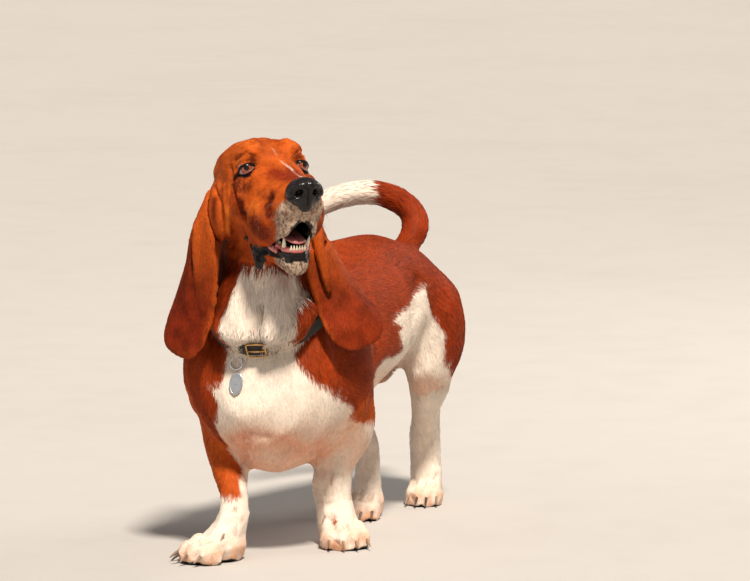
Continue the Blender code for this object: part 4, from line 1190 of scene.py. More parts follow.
def red_hair(at, coat):
    _, y, z = at.points.T
    head = at.on("head", "jaw")
    red = np.tile(np.array(coat.red), (len(y), 1))
    red[head] = coat.orange
    red[at.on("ear")] = ear_hair(at, coat)[at.on("ear")]
    red[at.on("neck")] = mixed(coat.red, coat.orange, 0.45)
    shadow = at.on("neck") * eased((-0.150 - y) / 0.04) * eased((z - 0.315) / 0.03)
    red = tinted(red, (0.55, 0.42, 0.42), shadow)
    red[at.on("forearm", "lower_leg")] = mixed(coat.red, coat.orange, 0.75)
    hind = eased((y - 0.02) / 0.20) * at.on("loin", "rump", "thigh", "tail")
    red = tinted(red, (0.86, 0.80, 0.85), hind)
    broad = 0.22 * at.broad + 0.14 * at.middle + 0.06 * at.fine
    red *= (1 + broad + head * (0.12 * at.middle + 0.14 * at.fine))[:, None]
    return tinted(red, (0.80, 0.68, 0.70), head * eased((-0.045 - at.local[:, 2]) / 0.05))


def white_hair(at, coat):
    """White, with pink skin showing where the hair is thin and stains on the toes."""
    z = at.points[:, 2]
    white = np.array(coat.white) * (1 + 0.05 * at.middle)[:, None]
    thin = eased((0.26 - z) / 0.10) * at.on("chest", "loin", "thigh", "forearm")
    under = eased((-at.normals[:, 2] - 0.1) / 0.7)
    white = tinted(white, (0.96, 0.66, 0.54), thin * under * 0.9)
    for line, _, _ in PINK_FOLDS:
        pit = on_stroke(at.points, with_radius(line, 0.0), 0.016)
        white = tinted(white, (0.93, 0.62, 0.52), pit * 0.6)
    toes = at.on("paw") * eased((0.040 - z) / 0.030) * eased(0.55 + 0.6 * at.middle + 0.5 * at.fine)
    white = tinted(white, (0.88, 0.50, 0.32), toes * 0.85)
    return tinted(white, (0.62, 0.42, 0.32), on_stroke(at.points, SHEATH, 0.005))


def with_face_shades(at, coat, colour):
    """Dark and light hair round eyes, cheeks, lips; painted shade and highlight on folds; the thin blaze."""
    grain = eased(0.5 + 1.1 * soft_noise(at.points + 1.3, 0.0017))
    for line, fade, factor, amount, speckle in FACE_SHADES:
        share = on_stroke(at.mirror, metres(line), fade * 0.001) * at.on("head", "jaw") * amount
        colour = tinted(colour, factor, np.clip(share * (1.5 - 1.3 * speckle * grain), 0, 1))
    blaze = on_stroke(at.local, BLAZE, 0.0011) * at.on("head")
    return mixed(colour, np.array(coat.white) * (0.95, 0.80, 0.76), blaze * (0.66 + 0.30 * at.fine))


def with_muzzle(at, coat, colour):
    """The muzzle and chin: cream hair ticked with dark."""
    _, along, up = at.local.T
    border = table(up, MUZZLE_BORDER, 1) + 0.004 * at.middle + 0.002 * at.fine
    muzzle = at.on("head") * eased(0.5 + (border - along) / 0.010) * eased((-0.034 - up) / 0.008)
    muzzle = np.maximum(muzzle, at.on("jaw") * eased((-0.025 - along) / 0.02))
    tick = eased(0.35 + 1.3 * soft_noise(at.points + 1.3, 0.0015) + 0.5 * at.fine + 0.3 * at.middle)
    cream = mixed(coat.ticking, np.array(coat.ticking) * (0.25, 0.18, 0.15), tick * 0.9)
    cream = tinted(cream, (0.55, 0.52, 0.52), at.on("jaw") * tick)
    return mixed(colour, cream, muzzle * 0.95)


def coat_colours(points, normals, parts):
    """The coat's colour at each place, and how bare the skin is there."""
    coat, skin = settings("basset_coat"), settings("basset_skin")
    at = Places(points, normals, parts)
    streak = soft_noise(points * (0.35, 1, 1), 0.006)
    depth = white_depth(at) + 0.0022 * at.middle + 0.0016 * at.fine
    depth = depth + np.where(at.on("tail"), 0.010 * streak, 0)
    edge = np.where(at.on("head"), 0.0010, 0.0022)
    colour = mixed(red_hair(at, coat), white_hair(at, coat), eased(0.5 + depth / edge / 2))
    colour = with_muzzle(at, coat, with_face_shades(at, coat, colour))
    bare = mouth_mask(at)
    for side in (-1, 1):
        opening, distance = lid_opening(at.local, side)
        inner = eased((at.local[:, 0] * side - 0.024) / 0.008)
        close = eased((EYE_RADIUS * 1.50 - distance) / (EYE_RADIUS * 0.25))
        dark = eased((opening + 19 + 5 * inner) / 6) * close
        shade = eased((opening + 27 + 12 * inner) / 14) * close * 0.7
        colour = mixed(colour, skin.dark, np.maximum(dark, shade * eased(0.5 + 0.5 * at.fine)))
        bare = np.maximum(bare, eased((opening + 7) / 3) * close)
    sole = at.on("paw") & (normals[:, 2] < -0.6) & (points[:, 2] < 0.010)
    bare = np.maximum(bare, sole)
    return mixed(colour, skin.dark, bare), bare


GAZE_OUTWARD, GAZE_UP = 21.0, 2.0
PUPIL_ANGLE, IRIS_ANGLE = 18.0, 38.5
CORNEA_BULGE = 0.045


def build_eye(side, name):
    """An eyeball whose iris has streaks round a dark pupil."""
    gaze = HEAD.to_3x3() @ heading(side * GAZE_OUTWARD, GAZE_UP)
    place = Matrix.Translation(HEAD @ eye_centre(side)) @ gaze.to_track_quat("Z", "Y").to_matrix().to_4x4()
    bm = bmesh.new()
    bmesh.ops.create_uvsphere(bm, u_segments=96, v_segments=64, radius=EYE_RADIUS)
    eye = object_from("eyeball_" + name, bm)
    globe = Surface(eye.data)
    way = unit(globe.points)
    angle = np.degrees(np.arccos(np.clip(way[:, 2], -1, 1)))
    globe.points *= (1 + CORNEA_BULGE * eased((IRIS_ANGLE + 4 - angle) / 22))[:, None]
    globe.write()
    turn = np.arctan2(way[:, 1], way[:, 0])
    streak = soft_noise(np.stack([np.cos(turn), np.sin(turn), angle * 0.02], axis=1) * 0.1, 0.012)
    share = (angle - PUPIL_ANGLE) / (IRIS_ANGLE - PUPIL_ANGLE)
    iris = mixed((0.36, 0.080, 0.012), (0.20, 0.036, 0.007), np.clip(share, 0, 1))
    iris = iris * (1 + 0.35 * streak)[:, None]
    iris = mixed(iris, (0.020, 0.008, 0.004), eased((angle - IRIS_ANGLE + 4) / 4))
    colour = mixed((0.004, 0.003, 0.003), iris, eased((angle - PUPIL_ANGLE) / 2.0))
    veins = soft_noise(way * (0.02, 0.02, 0.006), 0.0022)
    sclera = mixed((0.34, 0.23, 0.24), (0.30, 0.09, 0.08), eased(veins * 1.5 - 0.2) * 0.6)
    colour = mixed(colour, sclera, eased((angle - IRIS_ANGLE - 1) / 4))
    eye.data.transform(place)
    paint(eye.data, "iris", colour)
    eye.data.materials.append(material(
        "eye_" + name, "iris", (0.30, 0.45), 2500.0, 0.00002, 0.10, cells=0.5,
        Specular_IOR_Level=0.05, Coat_Weight=1.0, Coat_Roughness=0.02,
    ))
    finished(eye, "eye", "eye_" + name)


def build_inner_lid(side, name):
    """The wet pink edge that shows above the lower lid and in the inner corner."""
    edges = (lid_edge(side, 17, reach, 1.03) for reach in (-LOWER_LID, UPPER_LID))
    rows = []
    for number, (low, high) in enumerate(zip(*edges)):
        rows.append((*low.lerp(high, 0.10), 0.0007 + 0.0004 * math.sin(math.pi * number / 16)))
    bm = bmesh.new()
    rope(bm, rows, 8, place=HEAD)
    name = "inner_lid_" + name
    finish = material(name, (0.22, 0.060, 0.055), (0.15, 0.35), 1500.0, 0.0001, 0.4, 300.0, Coat_Weight=0.8)
    finished(object_from(name, bm, finish), "tongue")


def build_eyes():
    for side, name in ((-1, "right"), (1, "left")):
        build_eye(side, name)
        build_inner_lid(side, name)


def build_nose():
    bm = bmesh.new()
    ball(bm, (0, -0.110, -0.040), (0.0255, 0.016, 0.0205), HEAD, detail=4)
    ball(bm, (0, -0.116, -0.034), (0.0200, 0.0130, 0.0140), HEAD, detail=4)
    ball(bm, (0, -0.1120, -0.0560), (0.0120, 0.0110, 0.0095), HEAD, detail=4)
    nose = voxel_mesh(bm, 0.0008)
    surface = Surface(nose.data)
    surface.soften(14)
    local = in_head(surface.points)
    local[:, 0] *= 1 - 0.22 * eased((-0.044 - local[:, 2]) / 0.018)
    surface.points = moved(local, HEAD)
    fold(surface, HEAD, np.ones(len(local), bool), mirrored(NOSE_FOLDS))
    surface.soften(1)
    surface.write()
    finish = material(
        "nose_leather", settings("basset_skin").dark, (0.16, 0.28), 850.0, 0.0005, 0.4, 120.0, 1.0,
        Specular_IOR_Level=0.14, Coat_Weight=0.40, Coat_Roughness=0.14,
    )
    dressed(nose, "nose_leather", finish, "nose_leather", "nose")


# How far the tongue stands above and before the construction's place for it, and the gum above its.
TONGUE_RISE, TONGUE_REACH = 0.0060, 0.0110
MOUTH_RISE = 0.0045
# The gum's arch from the right corner to the middle, in the jaw's frame, with its radius.
GUM_ARCH = metres((
    (-17.5, -10, -79.5, 4), (-16.8, -40, -80.5, 4), (-15, -66, -81.5, 4.4), (-12, -75.5, -82, 4.4),
    (-5, -80.5, -82.5, 4),
))
# Bulges of the gum on each side: how far out and how high a row lies, how round they are, and each
# one's place along the jaw and size.
GUM_ROWS = (
    ((0.0185, -0.0800), (0.8, 1.0, 1.0), metres(((-58, 4.2), (-47, 4.0), (-36, 4.2), (-24, 3.8)))),
    ((0.0225, -0.0860), (0.9, 1.0, 1.1), metres(((-62, 3.6), (-53.5, 4.2), (-44.5, 4.4), (-36, 3.8)))),
)


def build_tongue():
    tongue = rounded_off(object_from("tongue_flesh", nodes_mesh(["tongue"])), 3)
    surface = Surface(tongue.data)
    local = moved(surface.points, JAW.inverted())
    groove = np.exp(-((local[:, 0] / 0.0022) ** 2)) * eased((local[:, 2] + 0.071) / 0.002)
    ripple = soft_noise(surface.points, 0.004) * 0.0003
    turn = np.array(JAW.to_3x3())
    surface.points -= turn[:, 2] * (groove * 0.0012 + ripple - TONGUE_RISE)[:, None]
    surface.points -= turn[:, 1] * TONGUE_REACH
    surface.write()
    finish = material(
        "tongue", (0.80, 0.25, 0.23), (0.22, 0.42), 1600.0, 0.0004, 0.35, 140.0, 1.0,
        Subsurface_Weight=0.15, Subsurface_Radius=(0.004, 0.0015, 0.001), Coat_Weight=0.6,
    )
    dressed(tongue, "tongue_flesh", finish, "tongue", "tongue")


def build_gums():
    jaw = JAW @ Matrix.Translation((0, 0, MOUTH_RISE))
    bm = bmesh.new()
    rope(bm, arch(GUM_ARCH), place=jaw)
    for side in (-1, 1):
        for (x, z), shape, bulges in GUM_ROWS:
            for y, size in bulges:
                ball(bm, (side * x, y, z), [size * part for part in shape], jaw)
        ball(bm, (side * 0.0150, -0.0715, -0.0815), (0.0046, 0.0046, 0.0052), jaw)
    gums = voxel_mesh(bm, 0.0007)
    surface = Surface(gums.data)
    surface.soften(8)
    surface.points += surface.normals() * (soft_noise(surface.points, 0.003) * 0.0003)[:, None]
    surface.write()
    flesh = settings("basset_skin").flesh
    finish = material("gum", flesh, (0.15, 0.35), 900.0, 0.0002, 0.55, 220.0, Coat_Weight=0.9)
    dressed(gums, "lower_gum", finish, "tongue", "lower_gums")


def tooth(bm, base, tip, width, flat=0.7):
    """A tooth that swells from its neck and curves to its tip."""
    rows = []
    for step in range(7):
        share = step / 6
        bend = Vector((0, -0.0012 * math.sin(math.pi * share), MOUTH_RISE))
        point = Vector(base).lerp(Vector(tip), share) + bend
        rows.append((*point, width * max(math.cos(share * 1.45), 0.10)))
    rope(bm, rows, 10, flat, JAW)


def build_teeth():
    """Six incisors, two canines and the cheek teeth of the lower jaw."""
    bm = bmesh.new()
    for side in (-1, 1):
        tooth(bm, (side * 0.0150, -0.0710, -0.0810), (side * 0.0180, -0.0760, -0.0640), 0.0033, 0.9)
        for step in range(3):
            x, back = side * (0.0019 + 0.0037 * step), 0.0006 * step
            tooth(bm, (x, -0.0818 + back, -0.0820), (x, -0.0838 + back, -0.0740), 0.0019)
        for y, high in metres(((-58, 3.6), (-49, 5.2), (-38, 6.4), (-26, 7.2))):
            tooth(bm, (side * 0.0172, y, -0.0790), (side * 0.0174, y, -0.0770 + high), 0.0036, 0.6)
    finish = material("tooth", (0.78, 0.70, 0.52), (0.15, 0.30), 700.0, 0.0001, 0.25, 180.0, Coat_Weight=0.5)
    finished(object_from("lower_teeth", bm, finish), "tooth")


def build_mouth():
    build_tongue()
    build_gums()
    build_teeth()


def build_claws():
    names = sorted(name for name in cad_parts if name.startswith(("claw", "dewclaw")))
    claws = rounded_off(object_from("claws", nodes_mesh(names)), 2)
    surface = Surface(claws.data)
    shade = eased(0.5 + 1.4 * soft_noise(surface.points, 0.028))
    for name in ("dewclaw_left", "dewclaw_right"):
        middle = np.mean(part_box(name), axis=0)
        own = np.linalg.norm(surface.points - middle, axis=1) < 0.012
        surface.points[own] = middle + (surface.points[own] - middle) * 0.7
        shade[own] = 1.0
    surface.write()
    paint(claws.data, "horn", mixed((0.020, 0.013, 0.010), (0.34, 0.21, 0.14), shade))
    horn = material("claw_horn", "horn", (0.25, 0.45), 900.0, 0.0002, scale=260.0, cells=0.5)
    claws.data.materials.append(horn)
    finished(claws, "claw_horn", *names)


# Rows of whiskers in the head's frame: first root, last root, number, direction, length.
WHISKER_ROWS = (
    ((0.024, -0.096, -0.050), (0.034, -0.060, -0.052), 6, (0.75, 0.55, -0.55), 0.024),
    ((0.022, -0.098, -0.058), (0.034, -0.056, -0.064), 6, (0.70, 0.45, -0.75), 0.026),
    ((0.020, -0.096, -0.066), (0.034, -0.050, -0.076), 5, (0.60, 0.30, -0.90), 0.022),
    ((0.004, -0.070, -0.122), (0.018, -0.048, -0.124), 6, (0.25, -0.10, -1.00), 0.016),
)
WHISKER_RADIUS = 0.00018


def build_whiskers():
    rng = np.random.default_rng(SEED)
    bm = bmesh.new()
    for first, last, number, way, length in WHISKER_ROWS:
        for side in (-1, 1):
            for step in range(number):
                root = Vector(first).lerp(Vector(last), step / (number - 1))
                root.x *= side
                foot = Skin.tree.find_nearest(HEAD @ root)[0]
                turn = Vector((side * way[0], way[1], way[2])) + Vector(rng.normal(0, 0.18, 3))
                turn = HEAD.to_3x3() @ turn.normalized()
                long = length * rng.uniform(0.4, 0.9)
                rows = []
                for t in (0, 0.25, 0.5, 0.75, 1):
                    point = foot + turn * long * t + Vector((0, 0, -1)) * long * 0.22 * t * t
                    rows.append((*point, WHISKER_RADIUS * (1 - 0.8 * t)))
                rope(bm, rows, 5)
    finish = material("whisker", (0.14, 0.10, 0.07), (0.3, 0.5), 900.0, 0.00005, 0.5, 90.0)
    finished(object_from("whiskers", bm, finish), "white_coat")


# The coat's pieces: the parts each one covers, which side of the dog, and its share of the tufts.
COAT_PIECES = {
    "coat_head": (("head", "jaw"), 0, 0.145),
    "coat_ears": (("ear",), 0, 0.125),
    "coat_neck": (("neck",), 0, 0.105),
    "coat_chest_left": (("chest",), 1, 0.125),
    "coat_chest_right": (("chest",), -1, 0.125),
    "coat_loin": (("loin",), 0, 0.120),
    "coat_hind": (("rump", "thigh"), 0, 0.130),
    "coat_limbs": (("tail", "forearm", "lower_leg", "paw"), 0, 0.125),
}
CHEST_MIDDLE = -0.012
TUFT_FACES = ((0, 1, 2), (0, 3, 4, 1), (1, 4, 5, 2), (2, 5, 3, 0), (3, 6, 4), (4, 6, 5), (5, 6, 3))
# Where each corner of a tuft lies in its own small patch of the map, from -1 to 1.
TUFT_PATCH = ((-0.8, -1.0), (0.8, -1.0), (0.0, -0.8), (-0.7, 0.0), (0.7, 0.0), (0.0, 0.1), (0.0, 1.0))
PATCH_HALF = 0.0015
UNWRAP_FACES = 3000
ROOT_DEPTH = 0.0004
TUFT_SLACK = 0.004


def build_coat():
    finish = coat_material()
    total = settings("basset_coat").tufts
    for number, (name, (starts, side, share)) in enumerate(COAT_PIECES.items()):
        build_coat_piece(name, starts, side, int(total * share), finish, SEED + number)


def piece_faces(starts, side):
    surface = Skin.surface
    wanted = in_parts(Skin.parts, *starts)[surface.triangles[:, 0]]
    middle = surface.points[surface.triangles].mean(axis=1)[:, 0]
    if side:
        wanted &= (middle > CHEST_MIDDLE) == (side > 0)
    return surface.triangles[wanted]


def unwrapped(faces):
    """An unwrap of this part of the skin: a search tree, its triangles and their places on the map."""
    used, index = np.unique(faces, return_inverse=True)
    mesh = bpy.data.meshes.new("unwrap")
    mesh.from_pydata(Skin.surface.points[used].tolist(), [], index.reshape(-1, 3).tolist())
    obj = with_modifier(link("unwrap", mesh), "DECIMATE", ratio=min(UNWRAP_FACES / len(faces), 1.0))
    bpy.ops.object.select_all(action="DESELECT")
    bpy.context.view_layer.objects.active = obj
    obj.select_set(True)
    bpy.ops.object.mode_set(mode="EDIT")
    bpy.ops.mesh.select_all(action="SELECT")
    bpy.ops.uv.smart_project(angle_limit=math.radians(70), island_margin=0.004)
    bpy.ops.object.mode_set(mode="OBJECT")
    surface = Surface(obj.data)
    corners = read(obj.data.uv_layers.active.data, "uv", float, 2).reshape(-1, 2)
    loops = read(obj.data.loop_triangles, "loops", np.int32).reshape(-1, 3)
    discard(obj)
    return surface.tree(), surface.points[surface.triangles], corners[loops]


def places_on_map(points, unwrap):
    tree, triangles, corners = unwrap
    hits = [tree.find_nearest(point) for point in points.tolist()]
    near = np.array([hit[0][:] for hit in hits])
    index = np.array([hit[2] for hit in hits])
    a, b, c = triangles[index].transpose(1, 0, 2)
    normal = np.cross(b - a, c - a)
    area = np.maximum((normal * normal).sum(axis=1), 1e-18)
    second = (np.cross(c - a, near - a) * -normal).sum(axis=1) / area
    third = (np.cross(b - a, near - a) * normal).sum(axis=1) / area
    shares = np.clip(np.stack([1 - second - third, second, third], axis=1), 0, 1)
    return (corners[index] * shares[:, :, None]).sum(axis=1) / shares.sum(axis=1, keepdims=True)


def sample_roots(faces, number, rng):
    """Even random places on the faces, with their normals, lie and part."""
    surface = Skin.surface
    a, b, c = (surface.points[faces[:, k]] for k in range(3))
    area = np.linalg.norm(np.cross(b - a, c - a), axis=1)
    parts = Skin.parts[faces[:, 0]]
    density = area / part_value(parts, WIDTH) * (1 + 2.5 * fringe_share(a, parts))
    ends = np.cumsum(density)
    picks = (np.arange(number) + rng.random(number)) / number * ends[-1]
    chosen = np.searchsorted(ends, picks).clip(0, len(faces) - 1)
    first, second = rng.random((2, number))
    flip = first + second > 1
    first, second = np.where(flip, 1 - first, first), np.where(flip, 1 - second, second)
    shares = np.stack([1 - first - second, first, second], axis=1)[:, :, None]
    corner = faces[chosen]
    roots, normals, lie = (
        (values[corner] * shares).sum(axis=1) for values in (surface.points, Skin.normals, Skin.lie)
    )
    return roots, unit(normals), unit(lie), Skin.parts[corner[:, 0]]


def hugging(points, height):
    """Points brought down to that height over the skin, or left hanging past its edge."""
    found = np.empty_like(points)
    for number, point in enumerate(points.tolist()):
        place, normal, _, distance = Skin.tree.find_nearest(point)
        away = Vector(point) - place
        if distance > TUFT_SLACK and away.dot(normal) > 0:
            found[number] = place + away * (TUFT_SLACK / distance)
        else:
            found[number] = place + normal * height[number]
    return found


def fringe_share(points, parts):
    """1 just above the collar at the throat, where the hair hangs over it."""
    _, y, z = points.T
    front = in_parts(parts, "neck", "chest") * eased((-0.205 - y) / 0.03)
    return front * eased((0.326 - z) / 0.012) * eased((z - 0.285) / 0.006)


def shaped_by_place(roots, parts):
    """How much longer and looser the hair is at the throat, sheath, tail and muzzle."""
    _, y, z = roots.T
    throat = in_parts(parts, "neck", "chest") * eased((-0.19 - y) / 0.04) * eased((z - 0.27) / 0.03)
    fringe = fringe_share(roots, parts)
    tuft = on_stroke(roots, SHEATH, 0.006)
    tail = in_parts(parts, "tail") * eased((0.40 - z) / 0.03)
    muzzle = in_parts(parts, "head") * eased((-0.05 - in_head(roots)[:, 1]) / 0.04)
    longer = 1 + 0.30 * throat + 0.9 * fringe + 0.7 * tuft + 0.2 * tail - 0.40 * muzzle
    return longer, 1 + 0.8 * throat + 7.5 * fringe + 6.0 * tuft


def build_coat_piece(name, starts, side, number, finish, seed):
    rng = np.random.default_rng(seed)
    faces = piece_faces(starts, side)
    found = sample_roots(faces, number, rng)
    colour, bare = coat_colours(found[0], found[1], found[3])
    roots, normals, lie, parts, colour = (values[bare < 0.5] for values in (*found, colour))
    number = len(roots)
    across = unit(np.cross(lie, normals))
    turn = rng.normal(0, 0.16, number)[:, None]
    lie = unit(lie * np.cos(turn) + across * np.sin(turn))
    across = unit(np.cross(lie, normals))
    longer, looser = shaped_by_place(roots, parts)
    scale = settings("basset_coat").length
    length = part_value(parts, LENGTH) * scale * rng.uniform(0.65, 1.15, number) * longer
    width = part_value(parts, WIDTH) * rng.uniform(0.7, 1.25, number)
    lift = part_value(parts, LIFT) * rng.uniform(0.15, 1.0, number) ** 1.3 * looser
    middle = hugging(roots + lie * (length * 0.5)[:, None], lift * 0.75)
    points = np.empty((number, 7, 3))
    for ring, (place, share) in enumerate(((roots - normals * ROOT_DEPTH, 0.75), (middle, 1.0))):
        half = across * (width * share * 0.5)[:, None]
        points[:, 3 * ring] = place - half
        points[:, 3 * ring + 1] = place + half
        points[:, 3 * ring + 2] = place + normals * (width * share * 0.45)[:, None]
    points[:, 6] = hugging(roots + lie * length[:, None], lift)
    points[:, :, 2] = np.maximum(points[:, :, 2], 0.0003)
    facing = np.repeat(normals[:, None], 7, axis=1)
    for corner, lean in enumerate((-1, 1, 0, -1, 1, 0, 0)):
        facing[:, corner] += across * lean * 0.45
    mesh = tuft_mesh(name, points, unit(facing), varied(colour, rng))
    loops = np.concatenate(TUFT_FACES)
    place = places_on_map(roots, unwrapped(faces))[:, None] + np.array(TUFT_PATCH)[loops] * PATCH_HALF
    mesh.uv_layers.new(name="OFBake").data.foreach_set("uv", place.clip(0, 1).ravel())
    finished(link(name, mesh, finish), "white_coat" if name == "coat_limbs" else "red_coat")


def varied(colour, rng):
    """A colour for each of a tuft's seven points: its own shade, with painted shade at its root."""
    number = len(colour)
    variety = np.where(colour[:, 2] > 0.10, 0.08, 0.25)[:, None, None]
    shade = 1 + rng.normal(0, 1, number).clip(-2, 2)[:, None, None] * variety
    warmth = 1 + rng.normal(0, 0.5, number)[:, None, None] * variety * np.array((-0.3, 1.0, 1.3))
    # Painted shade darkens each tuft's root; its tip is lighter.
    toward_tip = np.array((-1.0, -1.0, -1.0, 0.1, 0.1, 0.1, 0.9))[None, :, None]
    return np.repeat(colour[:, None], 7, axis=1) * shade * warmth * (1 + toward_tip * variety)


def tuft_mesh(name, points, facing, colours):
    """All the tufts of one piece as a single mesh, with a colour and a shading normal at each point."""
    number = len(points)
    corners = (np.concatenate(TUFT_FACES)[None] + 7 * np.arange(number)[:, None]).ravel()
    totals = np.tile([len(face) for face in TUFT_FACES], number)
    mesh = bpy.data.meshes.new(name)
    mesh.vertices.add(number * 7)
    mesh.vertices.foreach_set("co", points.ravel())
    mesh.loops.add(len(corners))
    mesh.loops.foreach_set("vertex_index", corners)
    mesh.polygons.add(len(totals))
    mesh.polygons.foreach_set("loop_start", np.concatenate([[0], np.cumsum(totals)[:-1]]))
    mesh.polygons.foreach_set("loop_total", totals)
    mesh.polygons.foreach_set("use_smooth", np.ones(len(totals), bool))
    mesh.update(calc_edges=True)
    paint(mesh, "coat", colours.reshape(-1, 3))
    mesh.normals_split_custom_set_from_vertices(facing.reshape(-1, 3))
    return mesh


# The collar's own frame and half sizes inside the strap, as in the construction.
COLLAR = Matrix.Translation(ORIGIN + Vector((-0.006, -0.213, 0.337))) @ turned(33, "X")
COLLAR_HALF = (0.0800, 0.0905)
BUCKLE_ANGLE, KEEPER_ANGLE = 6.0, 21.0
STITCHES = 132
# Half the buckle frame's length and width, and its wire's radius.
BUCKLE = (0.0128, 0.0107, 0.0012)
# The prong from the bar to its tip, and the bar across the strap, beside the buckle's middle.
PRONG = metres(((12.5, -0.6, 0, 1.1), (0, -1.8, 0, 1.1), (-12.5, -0.8, 0, 0.8)))
BUCKLE_BAR = metres(((12.8, 0, -8, 1.5), (12.8, 0, 8, 1.5)))


def collar_place(angle, outward):
    """The frame beside the strap: X along it, -Y outward, Z across it; angle 0 is the throat."""
    turn = math.radians(angle)
    x = math.sin(turn) * (COLLAR_HALF[0] + outward)
    y = -math.cos(turn) * (COLLAR_HALF[1] + outward)
    return COLLAR @ Matrix.Translation((x, y, 0)) @ turned(angle, "Z")


def build_strap():
    wear = settings("basset_wear")
    half_width, half_thick = wear.strap_width / 2, wear.strap_thickness / 2
    bm = bmesh.new()
    section = bmesh.ops.create_circle(bm, cap_ends=False, radius=1.0, segments=16)["verts"]
    for vert in section:
        x = math.copysign(abs(vert.co.x) ** 0.5, vert.co.x) * half_thick
        z = math.copysign(abs(vert.co.y) ** 0.35, vert.co.y) * half_width
        vert.co = Vector((COLLAR_HALF[0] + half_thick + x, 0, z))
    spun(bm, section, 128, COLLAR, COLLAR_HALF[1] / COLLAR_HALF[0])
    finish = material("strap_leather", wear.leather, (0.42, 0.62), 1100.0, 0.0004, 0.5, 60.0)
    finished(object_from("collar_leather", bm, finish), "strap", "collar_strap")
    thread = bmesh.new()
    for row in (-1, 1):
        for step in range(STITCHES):
            place = collar_place(360 * step / STITCHES, wear.strap_thickness)
            ball(thread, (0, 0, row * half_width * 0.74), (0.0014, 0.0004, 0.0004), place, detail=1)
    cotton = material("strap_thread", (0.10, 0.07, 0.05), (0.6, 0.8), 2500.0, 0.0001)
    finished(object_from("collar_stitching", thread, cotton), "strap")


def rounded_frame(bm, place, half_x, half_z, wire, steps=6):
    """A closed wire frame: a rounded oblong swept by a round section."""
    corner = min(half_x, half_z) * 0.35
    rows = []
    for quarter in range(4):
        cx = (half_x - corner) * (1 if quarter in (0, 3) else -1)
        cz = (half_z - corner) * (1 if quarter in (0, 1) else -1)
        for step in range(steps + 1):
            turn = math.pi / 2 * (quarter + step / steps)
            rows.append(Vector((cx + corner * math.cos(turn), 0, cz + corner * math.sin(turn))))
    rings = []
    for number, point in enumerate(rows):
        along = (rows[(number + 1) % len(rows)] - rows[number - 1]).normalized()
        side = Vector((0, 1, 0))
        up = along.cross(side)
        ring = bmesh.ops.create_circle(bm, cap_ends=False, radius=wire, segments=10)["verts"]
        for vert in ring:
            vert.co = place @ (point + side * vert.co.x + up * vert.co.y)
        rings.append(edges_within(ring))
    for first, second in zip(rings, rings[1:] + rings[:1]):
        bmesh.ops.bridge_loops(bm, edges=first + second)
    bmesh.ops.recalc_face_normals(bm, faces=bm.faces)


def build_buckle():
    wear = settings("basset_wear")
    place = collar_place(BUCKLE_ANGLE, wear.strap_thickness + 0.0014)
    bm = bmesh.new()
    rounded_frame(bm, place, *BUCKLE)
    rope(bm, PRONG, 10, place=place)
    rope(bm, BUCKLE_BAR, place=place)
    brass = material("brass", (0.62, 0.38, 0.15), (0.22, 0.42), 500.0, 0.0001, 0.35, 120.0, Metallic=1.0)
    finished(object_from("buckle_frame", bm, brass), "brass", "collar_buckle")
    keeper = bmesh.new()
    place = collar_place(KEEPER_ANGLE, wear.strap_thickness)
    sizes = (0.0070, 0.0022, wear.strap_width + 0.0015, 1)
    section = bmesh.ops.create_cube(keeper, size=1.0, matrix=place @ Matrix.Diagonal(sizes))["verts"]
    bmesh.ops.bevel(
        keeper, geom=edges_within(section), offset=0.0007, segments=3, profile=0.5,
        affect="EDGES", material=-1,
    )
    leather = material("keeper_leather", wear.leather, (0.40, 0.6), 1100.0, 0.0003, 0.4, 90.0)
    finished(object_from("collar_keeper", keeper, leather), "strap")


def build_collar():
    build_strap()
    build_buckle()


def flat_frame(name):
    """A flat node's own frame, its thin way along Z, and its half sizes."""
    points = np.array([vert.co[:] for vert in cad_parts[name].data.vertices])
    middle = np.mean(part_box(name), axis=0)
    axes = np.linalg.eigh(np.cov((points - middle).T))[1][:, ::-1]
    if np.linalg.det(axes) < 0:
        axes[:, 2] *= -1
    half = np.abs((points - middle) @ axes).max(axis=0)
    return Matrix.Translation(middle) @ Matrix([list(row) for row in axes]).to_4x4(), half


def build_tag():
    """The wire ring, and the tag: a plate with a raised rim round each bare face."""
    steel = material("steel", (0.62, 0.62, 0.63), (0.18, 0.36), 700.0, 0.00008, 0.25, 150.0, Metallic=1.0)
    place, (reach, _, wire) = flat_frame("tag_ring")
    bm = bmesh.new()
    section = bmesh.ops.create_circle(bm, cap_ends=False, radius=wire, segments=14)["verts"]
    for vert in section:
        vert.co = Vector((reach - wire + vert.co.x, 0, vert.co.y))
    spun(bm, section, 48, place)
    finished(object_from("tag_split_ring", bm, steel), "steel", "tag_ring")
    place, half = flat_frame("tag")
    bm = bmesh.new()
    bmesh.ops.create_cone(bm, cap_ends=True, segments=48, radius1=1, radius2=1, depth=2 * half[2])
    bmesh.ops.scale(bm, vec=(half[0], half[1], 1), verts=bm.verts)
    for cap in [face for face in bm.faces if len(face.verts) > 4]:
        bmesh.ops.inset_region(bm, faces=[cap], thickness=0.0011, depth=0.0)
        bmesh.ops.inset_region(bm, faces=[cap], thickness=0.0004, depth=-0.0003)
    rims = [edge for edge in bm.edges if edge.is_manifold and edge.calc_face_angle(0) > 1.2]
    bmesh.ops.bevel(bm, geom=rims, offset=0.0003, segments=2, profile=0.5, affect="EDGES", material=-1)
    bmesh.ops.transform(bm, matrix=place, verts=bm.verts)
    bmesh.ops.recalc_face_normals(bm, faces=bm.faces)
    finished(object_from("oval_tag", bm, steel, smooth=False), "steel", "tag")


FLOOR_RADIUS = 26.0
LOOK_AT = Vector((0.0542, 0.0238, 0.3313)) + ORIGIN
CAMERA_AZIMUTH, CAMERA_RISE, CAMERA_AWAY = 20, 7, 7.0
CAMERA_LENS = 36 * 5106 / 750
